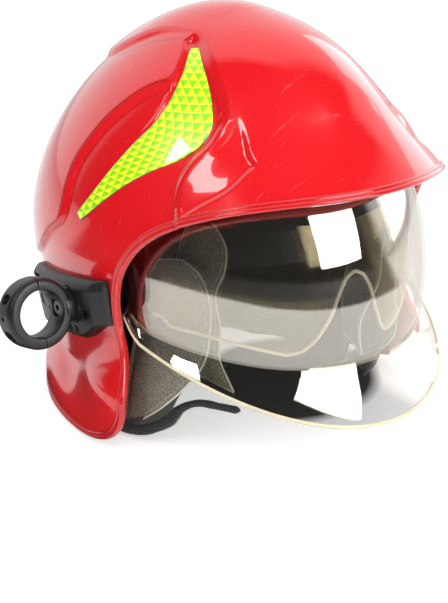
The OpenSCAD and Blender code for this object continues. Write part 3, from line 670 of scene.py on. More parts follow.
def moulded(tree: Tree, at: Node, out: Node) -> None:
    """Fine spark texture of moulded plastic with faint flow marks.

    Args:
        tree: the group's tree.
        at: its input node.
        out: its output node.
    """
    fine = tree.noise(at.outputs["Vector"], at.outputs["Grain"], 2.0)
    flow = tree.add("TexNoise", {"Vector": at.outputs["Vector"], "Scale": 28.0, "Detail": 4.0,
                                 "Distortion": 0.6}).outputs["Fac"]
    tree.fill(out, {"Height": fine,
                    "Shade": tree.times(tree.plus(flow, tree.times(fine, 0.4)), 0.75, clamp=True)})


def lacquer(tree: Tree, at: Node, out: Node) -> None:
    """Slow ripple of a sprayed coat, and sparse dust and fine scratches.

    Args:
        tree: the group's tree.
        at: its input node.
        out: its output node.
    """
    vector = at.outputs["Vector"]
    stretch = tree.add("Mapping", {"Vector": vector, "Scale": (40.0, 400.0, 60.0),
                                   "Rotation": (0.4, 0.2, 0.7)}).outputs[0]
    specks = tree.ramp(tree.noise(vector, 900.0, 1.0), (0.72, 0.0), (0.78, 1.0))
    lines = tree.ramp(tree.noise(stretch, 1.0, 3.0), (0.66, 0.0), (0.72, 1.0))
    tree.fill(out, {"Height": tree.noise(vector, at.outputs["Ripple"], 1.0),
                    "Wear": tree.math("MAXIMUM", specks, tree.times(lines, 0.5))})


@dataclass(frozen=True)
class Effect:
    """An effect that several finishes share, built once as a node group.

    Attributes:
        inputs: its number inputs with their usual values.
        outputs: its number outputs.
        fill: builds its nodes between its input and output nodes.
    """

    inputs: dict[str, float]
    outputs: tuple[str, ...]
    fill: Callable[[Tree, Node, Node], None]


EFFECTS = {
    "pebble": Effect({"Cells": 700.0, "Creases": 0.6}, ("Height", "Shade"), pebble),
    "weave": Effect({"Threads": 900.0}, ("Height", "Shade"), weave),
    "moulded": Effect({"Grain": 2600.0}, ("Height", "Shade"), moulded),
    "lacquer": Effect({"Ripple": 160.0}, ("Height", "Wear"), lacquer),
}


def shared(name: str) -> bpy.types.NodeTree:
    """The node group of the named effect, built at its first use.

    Args:
        name: the effect's name.

    Returns:
        The group.
    """
    found = bpy.data.node_groups.get(name)
    if found:
        return found
    effect = EFFECTS[name]
    made = bpy.data.node_groups.new(name, "ShaderNodeTree")
    made.interface.new_socket("Vector", in_out="INPUT", socket_type="NodeSocketVector")
    for key, value in effect.inputs.items():
        made.interface.new_socket(key, in_out="INPUT", socket_type="NodeSocketFloat").default_value = value
    for key in effect.outputs:
        made.interface.new_socket(key, in_out="OUTPUT", socket_type="NodeSocketFloat")
    tree = Tree(made)
    effect.fill(tree, tree.add("NodeGroupInput"), tree.add("NodeGroupOutput"))
    return made


def start(name: str) -> tuple[Material, Tree, Node]:
    """Starts a material.

    Args:
        name: its name.

    Returns:
        The material, its tree and its Principled shader.
    """
    mat = bpy.data.materials.new(name)
    mat.use_nodes = True
    tree = Tree(mat.node_tree)
    return mat, tree, next(n for n in tree.nodes if n.type == "BSDF_PRINCIPLED")


@dataclass(frozen=True)
class Surface:
    """A finish with one shared effect for its relief and shading.

    Attributes:
        name: the material's name.
        colour: its main colour, linear.
        shade: the colour where its effect's Shade is low: painted shade in the leather grain's hollows, and
            darker slubs, threads and flow marks in the others.
        effect: the shared effect.
        values: numbers for the effect's inputs.
        rough: lowest and highest roughness.
        bump: height of the relief in metres.
        fixed: numbers for the shader's other sockets.
    """

    name: str
    colour: Colour
    shade: Colour
    effect: str
    values: tuple[tuple[str, float], ...]
    rough: Pair
    bump: float
    fixed: tuple[tuple[str, float], ...] = ()

    def build(self) -> Material:
        """Makes the material."""
        mat, tree, shader = start(self.name)
        kit = tree.add("Group", {"Vector": tree.place(), **dict(self.values)}, node_tree=shared(self.effect))
        tint = kit.outputs["Shade"]
        low, high = self.rough
        tree.fill(shader, {
            "Base Color": tree.blend(tint, self.shade, self.colour),
            "Roughness": tree.plus(tree.times(tint, high - low), low),
            "Normal": tree.bump(kit.outputs["Height"], self.bump), **dict(self.fixed)})
        return mat


@dataclass(frozen=True)
class RedCoat:
    """Glossy red coat of the moulded parts.

    Attributes:
        name: the material's name.
        colour: its main colour, linear.
        lines: whether lines are engraved along the relief's edges, with painted shade along them.
    """

    name: str
    colour: Colour
    lines: bool

    # The stored distance that a line follows, its place and width there, and its depth in metres, which also
    # sets how dark its painted shade is.
    GROOVES = (("dome_u", 1.1, 0.3, 0.0004), ("dome_u", -0.95, 0.25, 0.00012),
               ("skin_u", -1.15, 0.32, 0.0002), ("skin_u", 1.0, 0.2, 0.00008))
    DEEPEST, BELL_BASE, RIPPLE = 0.0004, 2.718, 0.00006
    GLOSS = {"Coat Weight": 1.0, "Coat Roughness": 0.035, "Coat IOR": 1.55, "IOR": 1.35}

    def build(self) -> Material:
        """Makes the material."""
        mat, tree, shader = start(self.name)
        at = tree.place()
        kit = tree.add("Group", {"Vector": at, "Ripple": 150.0}, node_tree=shared("lacquer"))
        base = tree.blend(tree.noise(at, 9.0, 2.0), darker(self.colour, 0.9), self.colour)
        height = tree.times(kit.outputs["Height"], self.RIPPLE)
        if self.lines:
            height, base = self.engrave(tree, height, base)
        worn = kit.outputs["Wear"]
        tree.fill(shader, {
            "Base Color": tree.blend(tree.times(worn, 0.16), base, (0.75, 0.45, 0.42)),
            "Roughness": tree.plus(tree.times(worn, 0.15), 0.2),
            "Normal": tree.bump(height, 1.0), **self.GLOSS})
        return mat

    def engrave(self, tree: Tree, height: Socket, base: Socket) -> tuple[Socket, Socket]:
        """Cuts the lines into the coat and paints shade along them.

        Args:
            tree: the material's tree.
            height: its relief in metres.
            base: its colour.

        Returns:
            The relief, and the colour darkened along the lines with painted shade.
        """
        groove: object = 0.0
        for name, place, width, depth in self.GROOVES:
            off = tree.math("DIVIDE", tree.minus(tree.number(name), place), width)
            line = tree.math("POWER", self.BELL_BASE, tree.times(tree.times(off, off), -1.0))
            height = tree.minus(height, tree.times(line, depth))
            # Painted shade: each line darkens the colour, more for deeper lines, up to the deepest.
            groove_shade = tree.times(line, min(1.0, depth / self.DEEPEST + 0.1))
            groove = tree.math("MAXIMUM", groove, groove_shade)
        # The painted shade in the lines is a darker red.
        return height, tree.blend(tree.times(groove, 0.6), base, darker(self.colour, 0.35))


class StickerFilm:
    """Fluorescent reflective film: small prisms in a clear film with a dark edge, and a painted glow that
    stands in for its fluorescence.
    """

    name = "reflective_film"
    PITCH, RELIEF, EDGE = 0.0066, 0.00012, 0.7
    ROWS = (90, 30, 150)
    YELLOW, LEMON, GREEN = srgb(226, 246, 0), srgb(244, 255, 10), srgb(132, 214, 4)
    SEAM, RIM = srgb(206, 226, 60), srgb(60, 66, 10)
    # Painted glow: a steady emission in the film's own colour, for its fluorescence, with a clear coat.
    FIXED = {"Emission Strength": 0.12, "Coat Weight": 1.0, "Coat Roughness": 0.06}

    def prisms(self, tree: Tree, uv: Socket) -> tuple[Socket, Socket]:
        """A lattice of triangles from three sets of rows.

        Args:
            tree: the material's tree.
            uv: the film's map in metres.

        Returns:
            Which of the two kinds each triangle is, and a mask of the seams.
        """
        rows = []
        for angle in map(math.radians, self.ROWS):
            along = tree.vector("DOT_PRODUCT", uv, (math.cos(angle), math.sin(angle), 0))
            rows.append(tree.math("DIVIDE", along, self.PITCH * math.sqrt(3) / 2))
        first, second, third = (tree.math("FLOOR", row) for row in rows)
        total = tree.plus(tree.plus(first, second), third)
        seam: object = 0.0
        for row in rows:
            off = tree.math("ABSOLUTE", tree.minus(tree.math("FRACT", row), 0.5))
            seam = tree.math("MAXIMUM", seam, off)
        return (tree.math("MODULO", tree.math("ABSOLUTE", total), 2.0),
                tree.ramp(seam, (0.44, 0.0), (0.49, 1.0)))

    def build(self) -> Material:
        """Makes the material."""
        mat, tree, shader = start(self.name)
        uv = tree.add("UVMap").outputs[0]
        kind, line = self.prisms(tree, uv)
        tone = tree.noise(uv, 60.0, 2.0)
        film = tree.blend(kind, tree.blend(tone, self.YELLOW, self.LEMON), self.GREEN)
        seamed = tree.blend(tree.times(line, 0.6), film, self.SEAM)
        colour = tree.blend(tree.math("LESS_THAN", tree.number("edge_d"), self.EDGE), seamed, self.RIM)
        height = tree.plus(tree.times(kind, 0.5), tree.times(line, -0.6))
        # The painted glow takes the film's colour.
        tree.fill(shader, {
            "Base Color": colour, "Emission Color": colour,
            "Roughness": tree.plus(tree.times(tone, 0.1), 0.25),
            "Normal": tree.bump(height, self.RELIEF, 0.7), **self.FIXED})
        return mat


@dataclass(frozen=True)
class MirrorGlass:
    """Thin polycarbonate with a half-mirror coat, seen as a veil over what is behind.

    Attributes:
        name: the material's name.
        tint: colour of the coat's reflection.
        veil: share of light that the coat stops, facing and grazing.
        rough: roughness of the coat.
    """

    name: str
    tint: Colour
    veil: Pair
    rough: float

    RIPPLE = 0.00004

    def build(self) -> Material:
        """Makes the material."""
        mat, tree, shader = start(self.name)
        at = tree.place()
        smear = tree.noise(at, 22.0, 4.0, 0.6)
        kit = tree.add("Group", {"Vector": at, "Ripple": 60.0}, node_tree=shared("lacquer"))
        graze = tree.add("LayerWeight", {"Blend": 0.45}).outputs["Facing"]
        low, high = self.veil
        share = tree.plus(tree.times(tree.math("POWER", graze, 2.2), high - low), low)
        tree.fill(shader, {
            "Base Color": tree.blend(smear, darker(self.tint, 0.93), self.tint),
            "Roughness": tree.plus(tree.times(smear, self.rough), self.rough * 0.6),
            "Alpha": tree.plus(share, tree.times(kit.outputs["Wear"], 0.03), clamp=True),
            "Normal": tree.bump(kit.outputs["Height"], self.RIPPLE), "Metallic": 1.0})
        return mat


Finish = Surface | RedCoat | StickerFilm | MirrorGlass


class Finishes:
    """Every finish of the helmet, built once at its first use."""

    TABLE: dict[str, Finish] = {finish.name: finish for finish in (
        RedCoat("shell_red", (0.72, 0.0062, 0.011), True),
        RedCoat("trim_red", (0.62, 0.006, 0.0105), False),
        StickerFilm(),
        MirrorGlass("clear_shield", (0.95, 0.92, 0.84), (0.24, 0.75), 0.02),
        MirrorGlass("amber_visor", (0.86, 0.72, 0.42), (0.1, 0.6), 0.1),
        Surface("liner_foam", (0.013, 0.0125, 0.012), (0.004, 0.004, 0.004), "weave",
            (("Threads", 700.0),), (0.75, 0.95), 0.0003),
        Surface("webbing", (0.022, 0.022, 0.024), (0.006, 0.006, 0.007), "weave",
            (("Threads", 620.0),), (0.6, 0.85), 0.0003),
        Surface("black_cloth", (0.016, 0.015, 0.0155), (0.005, 0.005, 0.005), "weave",
            (("Threads", 520.0),), (0.7, 0.9), 0.00035, (("Sheen Weight", 0.25),)),
        Surface("black_plastic", (0.02, 0.02, 0.021), (0.008, 0.008, 0.009), "moulded",
            (("Grain", 2600.0),), (0.32, 0.5), 0.00008),
        Surface("bracket_plastic", (0.0135, 0.014, 0.015), (0.007, 0.007, 0.0075), "moulded",
            (("Grain", 2200.0),), (0.3, 0.44), 0.00008),
        Surface("black_rubber", (0.014, 0.014, 0.014), (0.006, 0.006, 0.006), "moulded",
            (("Grain", 3400.0),), (0.55, 0.75), 0.00012),
        Surface("white_plastic", (0.78, 0.77, 0.72), (0.6, 0.58, 0.52), "moulded",
            (("Grain", 2000.0),), (0.35, 0.5), 0.00005),
        Surface("cream_bead", srgb(238, 230, 205), srgb(206, 194, 160), "moulded",
            (("Grain", 1500.0),), (0.12, 0.24), 0.00004),
        Surface("bright_steel", (0.56, 0.57, 0.58), (0.34, 0.34, 0.35), "moulded",
            (("Grain", 3000.0),), (0.22, 0.38), 0.00005, (("Metallic", 1.0),)),
        Surface("dark_steel", (0.12, 0.12, 0.125), (0.05, 0.05, 0.052), "moulded",
            (("Grain", 3000.0),), (0.25, 0.42), 0.00005, (("Metallic", 1.0),)),
        Surface("flap_leather", srgb(168, 163, 146), srgb(104, 101, 88), "pebble",
            (("Cells", 640.0), ("Creases", 0.8)), (0.5, 0.66), 0.00045),
        Surface("pad_leather", srgb(176, 168, 140), srgb(104, 99, 82), "pebble",
            (("Cells", 700.0), ("Creases", 0.7)), (0.5, 0.68), 0.0004),
        Surface("dark_leather", (0.045, 0.035, 0.026), (0.018, 0.014, 0.011), "pebble",
            (("Cells", 620.0), ("Creases", 0.7)), (0.45, 0.62), 0.0004),
        Surface("piping", srgb(232, 229, 214), srgb(186, 182, 164), "weave",
            (("Threads", 1800.0),), (0.5, 0.65), 0.0001),
        Surface("black_thread", (0.03, 0.03, 0.031), (0.012, 0.012, 0.012), "weave",
            (("Threads", 2400.0),), (0.6, 0.8), 0.0001),
        Surface("stitch_thread", srgb(226, 222, 206), srgb(150, 146, 130), "weave",
            (("Threads", 2400.0),), (0.6, 0.8), 0.0001),
    )}
    _made: dict[str, Material] = {}

    @classmethod
    def get(cls, name: str) -> Material:
        """The named finish as a material."""
        if name not in cls._made:
            cls._made[name] = cls.TABLE[name].build()
        return cls._made[name]


def finish_piece(obj: Piece, finish: str, slot: str, *nodes: str, body: Body = Body.HELMET) -> None:
    """Args:
        obj: the piece.
        finish: the name of its finish.
        slot: the record's material slot; not used.
        nodes: the CAD nodes that it stands for.
        body: the body that it rides on.
    """
    obj.data.materials.clear()
    obj.data.materials.append(Finishes.get(finish))
    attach(obj, body.value)
    if nodes:
        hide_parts(*nodes)
    LOG.info("%s on %s, %d faces", obj.name, body.value, len(obj.data.polygons))


def dress(node: str, finish: str) -> None:
    """Gives a CAD node a finish.

    Args:
        node: the node's name.
        finish: the name of its finish.
    """
    obj = frame["nodes"][node]
    obj.data.materials.clear()
    obj.data.materials.append(Finishes.get(finish))
    LOG.info("dressed %s with %s", node, finish)


# Shell


@dataclass(frozen=True)
class ShellForm:
    """Form of the moulded shell, in millimetres, on the wearer's right.

    Attributes:
        half_w: half width in the recessed side panels.
        front: reach forward of the middle.
        rear: reach rearward of the middle.
        up: rise over the middle.
        down: drop that sets the skirt's draft.
        mid_y: place of the middle.
        mid_z: height of the middle.
        plan: roundness in plan.
        side: roundness from the side.
        wall: wall thickness.
        step: height of the skin and dome over the side panel.
        crest: further rise of the crest.
        petal: depth of the petal scoop.
        brow_y: where the brow line is set.
        brow_z: its height there.
        brow_rise: how steeply it rises forward.
        brow_bend: how much it bends down again.
        brow_round: rounding between the brow line and the ear line.
        ear_y: where the ear line is set.
        ear_lean: how far its foot leans forward.
        lean_z: height under which it leans.
        lean_run: drop over which it leans.
        nape_y: where the lower edge starts to rise.
        nape_run: length over which it rises.
        nape_rise: how far it rises.
        jaw_round: rounding between the ear line and the lower edge.
    """

    half_w: float = 119.0
    front: float = 147.0
    rear: float = 160.0
    up: float = 143.0
    down: float = 250.0
    mid_y: float = 16.0
    mid_z: float = 121.0
    plan: float = 2.05
    side: float = 1.72
    wall: float = 3.5
    step: float = 3.2
    crest: float = 3.0
    petal: float = 2.6
    brow_y: float = -56.0
    brow_z: float = 159.0
    brow_rise: float = 0.58
    brow_bend: float = 0.004
    brow_round: float = 36.0
    ear_y: float = -20.0
    ear_lean: float = 9.0
    lean_z: float = 95.0
    lean_run: float = 75.0
    nape_y: float = 95.0
    nape_run: float = 75.0
    nape_rise: float = 10.0
    jaw_round: float = 56.0

    SKIN = ((113, 225), (110.5, 223.7), (96, 222), (77, 227), (57, 237.5), (38, 246), (20, 250), (3, 251),
            (-11, 246), (-27, 237), (-38, 229.7), (-46.3, 223.5), (-51.5, 217),
            (-53.7, 211), (-53.3, 203.5), (-50, 195.5), (-49, 187),
            (-51.2, 178), (-57, 165))
    SKIN_BEYOND = ((-70, 135), (-220, 100), (-220, 330), (113, 330))
    DOME = ((9, 249), (2.5, 245), (-2.5, 239), (-6, 234), (-7, 229), (0.5, 225.8), (9, 220.5), (18, 211.5),
            (26.5, 201), (33.5, 188.5), (38.8, 177.5), (40.8, 164.5), (40.2, 152), (43.5, 140.5),
            (57, 131), (70, 119.5), (87, 106), (110, 97), (170, 92))
    DOME_BEYOND = ((230, 92), (230, 330), (9, 330))
    FIN = ((8, 248.5), (2.5, 245.5), (-2.5, 239.5), (-6, 234.5), (-9, 228), (-11.5, 218),
           (-10.5, 209.5), (-5, 200))
    PETAL = ((-59, 218), (-68, 208.5), (-75, 200.5), (-79.7, 196), (-78.6, 192.5), (-77, 187), (-74, 181.5),
             (-68, 175.5), (-60, 167))
    PETAL_BACK = ((-54, 172), (-49, 185), (-50, 196), (-54, 206), (-56, 214))
    EDGE = 4.0
    FULLNESS, FULL_RUN = 7, 150
    BROW_SWEEP, BROW_RUN, NAPE_SWEEP = 16, 42, 20

    def middle(self) -> Array:
        """The shell's middle."""
        return np.array([0, self.mid_y, self.mid_z])

    def point(self, d: Array) -> Array:
        """Panel-level points in unit directions d from the middle.

        Args:
            d: the directions.

        Returns:
            The points.
        """
        ay = np.where(d[..., 1] < 0, self.front, self.rear)
        az = np.where(d[..., 2] > 0, self.up, self.down)
        level = (np.abs(d[..., 0]) / self.half_w) ** self.plan + (np.abs(d[..., 1]) / ay) ** self.plan
        r = (level ** (self.side / self.plan) + (np.abs(d[..., 2]) / az) ** self.side) ** (-1 / self.side)
        return self.middle() + r[..., None] * d

    def half_width(self, y: Array, z: Array) -> Array:
        """Half width of the panel level at places in the side view.

        Args:
            y: places along the helmet.
            z: their heights.

        Returns:
            The half widths.
        """
        v, w = np.asarray(y) - self.mid_y, np.asarray(z) - self.mid_z
        ay = np.where(v < 0, self.front, self.rear)
        az = np.where(w > 0, self.up, self.down)
        h = np.maximum(0, 1 - (np.abs(w) / az) ** self.side) ** (self.plan / self.side)
        return self.half_w * np.maximum(0, h - (np.abs(v) / ay) ** self.plan) ** (1 / self.plan)

    def lay(self, curve: Curve, steps: int = 8) -> Array:
        """A side-view curve laid on the wearer's right side."""
        c = spline(curve, steps)
        return np.stack([-self.half_width(c[:, 0], c[:, 1]), c[:, 0], c[:, 1]], 1)

    def out(self, p: Array) -> Array:
        """Outward directions, level below the middle."""
        return unit(np.stack([p[..., 0], p[..., 1] - self.mid_y, np.maximum(p[..., 2] - self.mid_z, 0)], -1))

    def level(self, p: Array) -> Array:
        """Outward directions in plan."""
        return unit(np.stack([p[..., 0], p[..., 1] - self.mid_y, np.zeros(p.shape[:-1])], -1))

    def signed(self, p: Array, curve: Curve, beyond: Curve) -> Array:
        """Distance from a laid curve, positive on the raised side.

        Args:
            p: the points.
            curve: the curve in the side view.
            beyond: corners that close it round the raised side.

        Returns:
            The distances.
        """
        flat = p.reshape(-1, 3)
        zone = np.concatenate([spline(curve, 8), np.asarray(beyond, float)])
        d = line_distance(flat, self.lay(curve))
        return np.where(inside(flat[:, 1:], zone), d, -d).reshape(p.shape[:-1])

    def distances(self, p: Array) -> dict[str, Array]:
        """Places across the edges of the relief.

        Args:
            p: points at panel level.

        Returns:
            Skin and dome in half widths of their edges, petal and fin in millimetres.
        """
        y, z = p[..., 1], p[..., 2]
        skin = self.signed(p, self.SKIN, self.SKIN_BEYOND)
        dome = self.signed(p, self.DOME, self.DOME_BEYOND)
        skin_half = 1.9 + 1.1 * smooth((z - 205) / 15) + 2.2 * smooth((y - 5) / 30)
        dome_half = 1.2 + 2.1 * smooth((z - 139) / 8) * smooth((235 - z) / 5)
        fin = line_distance(p.reshape(-1, 3), self.lay(self.FIN)).reshape(y.shape)
        return {
            "skin_u": skin / skin_half,
            "dome_u": dome / dome_half,
            "petal_d": self.signed(p, self.PETAL, self.PETAL_BACK),
            "fin_d": fin,
        }

    def relief(self, p: Array, fine: dict[str, Array] | None = None) -> Array:
        """Height over the panel level.

        Args:
            p: points at panel level.
            fine: their distances, if they are known.

        Returns:
            The heights.
        """
        d = fine or self.distances(p)
        skin = soft_clip(0.5 + d["skin_u"] / 2, 0.2)
        dome = soft_clip(0.5 + d["dome_u"] / 2, 0.09)
        inner = d["petal_d"]
        deep = self.petal * smooth((219 - p[..., 2]) / 20)
        scoop = np.where(inner > 0, deep * np.clip(inner / 1.4, 0, 1) * (1 - smooth((inner - 1.4) / 24)), 0)
        high = self.step + self.crest * smooth(p[..., 1] / 60)
        ends = smooth((p[..., 2] - 199) / 16), smooth((247 - p[..., 2]) / 14)
        fin = 1.3 * np.exp(-(d["fin_d"] / 1.3) ** 2) * ends[0] * ends[1]
        return np.maximum(skin * high - scoop, dome * self.step) + fin

    def direction(self, a: Array, t: Array) -> Array:
        """Unit directions at bearings a and angles t from the pole, in degrees.

        Args:
            a: bearings from the front.
            t: angles from the pole.

        Returns:
            The directions.
        """
        a, t = np.radians(a), np.radians(t)
        h = math.sqrt(0.5)
        return np.stack([-np.sin(t) * np.sin(a), np.cos(t) * h - np.sin(t) * np.cos(a) * h,
                         np.cos(t) * h + np.sin(t) * np.cos(a) * h], -1)

    def cut_away(self, p: Array) -> Array:
        """Positive where the face opening or the lower edge cuts the shell away.

        Args:
            p: points at panel level.

        Returns:
            How far past the edge each is.
        """
        def low_of(a: Array, b: Array, k: float) -> Array:
            """Smooth lower of two."""
            h = np.maximum(k - np.abs(a - b), 0) / k
            return np.minimum(a, b) - h * h * k / 4
        y, z = p[..., 1], p[..., 2]
        w = self.brow_y - y
        brow = self.brow_z + self.brow_rise * w - self.brow_bend * w * w
        ear = self.ear_y - self.ear_lean * smooth((self.lean_z - z) / self.lean_run) - y
        face = low_of(ear, brow - z, self.brow_round)
        low = self.nape_rise * smooth((y - self.nape_y) / self.nape_run)
        return -low_of(-face, -(low - z), self.jaw_round)

    def rim(self, a: Array) -> Array:
        """Angle from the pole to the rim at each bearing.

        Args:
            a: the bearings.

        Returns:
            The angles, in degrees.
        """
        lo, hi = np.full(len(a), 50.0), np.full(len(a), 150.0)
        for _ in range(22):
            m = (lo + hi) / 2
            over = self.cut_away(self.point(self.direction(a, m))) + self.EDGE > 0
            lo, hi = np.where(over, lo, m), np.where(over, m, hi)
        return (lo + hi) / 2

    def swept(self, a: Array, t: Array, te: Array, lift: Array | float) -> Array:
        """Points lifted off the panel level, with the brow's and nape's sweep.

        Args:
            a: bearings.
            t: angles from the pole.
            te: angles of the rim there.
            lift: heights over the panel level.

        Returns:
            The points.
        """
        p = self.point(self.direction(a, t))
        s = np.radians(te - t) * np.linalg.norm(p - self.middle(), axis=-1)
        wave = np.sin(np.radians(180 * np.clip(s, 0, self.FULL_RUN) / self.FULL_RUN)) ** 2
        full = np.where(s < self.FULL_RUN, self.FULLNESS * smooth(1 - a / 30) * wave, 0)
        n = smooth((a - 84) / 34)
        brow = self.BROW_SWEEP * smooth(1 - a / 80) * np.maximum(0, 1 - s / self.BROW_RUN) ** 2
        nape = (self.NAPE_SWEEP * (0.25 + 0.75 * n) * smooth((a - 78) / 14) * smooth((78 - p[..., 2]) / 40)
                * np.sin(np.radians(90 * np.clip(1 - s / (14 + 38 * n), 0, 1))) ** 1.25)
        lifted = np.asarray(lift) + full
        return p + self.out(p) * lifted[..., None] + self.level(p) * (brow + nape)[..., None]


class Shell:
    """The moulded shell with its edge trim and reflective stickers."""

    OUTER_ROWS, INNER_ROWS, STORED_LIMIT = 188, 16, 30
    # Outline of the trim: which side of the wall, then how far along it and off it in millimetres.
    TRIM = ((1, -2.2, 0), (1, -2.3, 0.9), (1, -1.4, 1.35), (1, -0.5, 1.25), (1, 0.1, 0.75), (1, 0.7, 1.15),
            (1, 1.8, 1.4), (1, 3.0, 1.0), (0.6, 3.9, 0.6), (0, 4.1, 0), (-0.6, 3.8, -0.5), (-1, 2.8, -0.8),
            (-1, 1.2, -1.0), (-1, -0.6, -1.0), (-1, -1.8, -0.9), (-1, -2.2, 0))
    # Edges of the sticker in the side view, from the top down.
    REAR = ((4.5, 248.3), (-6, 238), (-11.6, 228), (-13.6, 218), (-11.5, 208.5), (-5, 198), (5, 181),
            (14, 166.5), (27, 149.3))
    FORE = ((-2, 249), (-16, 241.5), (-26, 235.5), (-36, 228), (-43, 221.5), (-48.3, 215), (-50.3, 209),
            (-49.8, 203), (-47, 199), (-43, 195), (-37.5, 191.4), (-28, 186), (-15, 176.7), (0, 164),
            (15, 150.5), (21.5, 146))
    STICKER_ROWS, STICKER_COLS, FILM_BASE, FILM, FILM_EDGE = 90, 30, 0.1, 0.53, 0.6

    def __init__(self, form: ShellForm) -> None:
        """Finds the rim at every bearing.

        Args:
            form: the shell's form.
        """
        self.form = form
        self.half = np.concatenate([np.linspace(0, 20, 12, endpoint=False),
                                    np.linspace(20, 100, 146, endpoint=False), np.linspace(100, 180, 50)])
        self.te = form.rim(self.half)

    def full_turn(self, rows: Array) -> Array:
        """A whole turn of points from those on the wearer's right (rows, bearings, 3).

        Args:
            rows: the points, from the front round to the rear.

        Returns:
            The whole turn.
        """
        other = rows[:, 1:-1][:, ::-1].copy()
        other[..., 0] *= -1
        return np.concatenate([rows, other], axis=1)

    def rings(self, n: int, outer: bool) -> tuple[Array, dict[str, Array]]:
        """Rings of points from the pole to the rim, and the distances stored at them.

        Args:
            n: how many rings there are.
            outer: whether they are on the outer face.

        Returns:
            The rings, and the stored distances of the outer ones.
        """
        t = self.te[None] * (np.arange(1, n + 1)[:, None] / n) ** 0.94
        a = np.broadcast_to(self.half[None], t.shape)
        te = np.broadcast_to(self.te[None], t.shape)
        base = self.form.point(self.form.direction(a, t))
        if not outer:
            return self.full_turn(self.form.swept(a, t, te, -self.form.wall)), {}
        d = self.form.distances(base)
        rows = self.full_turn(self.form.swept(a, t, te, self.form.relief(base, d)))
        whole = {k: np.concatenate([v, v[:, 1:-1][:, ::-1]], 1) for k, v in d.items()}
        return rows, whole

    def build(self) -> None:
        """Makes the shell, its trim and its stickers."""
        outer, stored = self.rings(self.OUTER_ROWS, True)
        inner, _ = self.rings(self.INNER_ROWS, False)
        pole = self.form.point(self.form.direction(np.zeros(1), np.zeros(1)))[0]
        up = self.form.out(pole)
        top = self.form.relief(pole[None])[0]
        rows = np.concatenate([outer, inner[::-1]])
        m, n, _ = rows.shape
        verts = np.concatenate([rows.reshape(-1, 3), [pole + up * top, pole - up * self.form.wall]])
        obj = new_mesh("red_shell", verts, loft_faces(m, n) + cap_faces(m, n))
        for key, values in stored.items():
            full = np.full(len(verts), -float(self.STORED_LIMIT))
            full[:values.size] = np.clip(values.reshape(-1), -self.STORED_LIMIT, self.STORED_LIMIT)
            set_attribute(obj, key, full)
        finish_piece(obj, "shell_red", "red_shell", "shell")
        self.trim(outer, inner)
        self.stickers()

    def trim(self, outer: Array, inner: Array) -> None:
        """Moulded edge trim: a rolled bead with a groove and a lip over both faces.

        Args:
            outer: the shell's outer rings.
            inner: its inner rings.
        """
        o, q = outer[-1], inner[-1]
        mid = (o + q) / 2
        u = self.form.out(mid)
        t = unit(unit(q - inner[-2]) + unit(o - outer[-2]))
        w = np.linalg.norm(o - q, axis=1)[:, None, None] / 2
        section = spline(self.TRIM, 2)
        along = section[None, :, 1, None] * t[:, None]
        across = u[:, None] * (section[None, :, 0, None] * w + section[None, :, 2, None])
        obj = loft("edge_bead", mid[:, None] + along + across, closed=True)
        finish_piece(obj, "trim_red", "red_trim", "edge_trim")

    def stickers(self) -> None:
        """Reflective stickers laid in the side recesses."""
        rear = resample(spline(self.REAR, 12), self.STICKER_ROWS)
        fore = resample(spline(self.FORE, 12), self.STICKER_ROWS)
        k = np.linspace(0, 1, self.STICKER_COLS)
        yz = fore[:, None] * (1 - k[None, :, None]) + rear[:, None] * k[None, :, None]
        base = np.stack([-self.form.half_width(yz[..., 0], yz[..., 1]), yz[..., 0], yz[..., 1]], -1)
        out = self.form.out(base)
        relief = self.form.relief(base)[..., None]
        across = np.linalg.norm(np.diff(base, axis=1), axis=-1)
        u = np.concatenate([np.zeros((len(base), 1)), np.cumsum(across, 1)], 1)
        v = lengths(base[:, self.STICKER_COLS // 2])
        edge = np.minimum(np.minimum(u, u[:, -1:] - u), np.minimum(v, v[-1] - v)[:, None])
        full = self.FILM * np.minimum(1, edge / self.FILM_EDGE)[..., None]
        front = base + out * (relief + self.FILM_BASE + 0.02 + full)
        obj = slab("sticker_film_right", front, base + out * (relief + self.FILM_BASE))
        across, along, edges = (np.concatenate([f, f[:, ::-1]], 1).reshape(-1) for f in (
            u - u[:, -1:] / 2, np.broadcast_to(v[:, None], u.shape), edge))
        set_uv(obj, np.stack([across, along], 1))
        set_attribute(obj, "edge_d", edges)
        for side, piece in both_sides(obj, Side.RIGHT):
            finish_piece(piece, "reflective_film", "reflective_sticker", f"sticker_{side.tag}")


# Visors


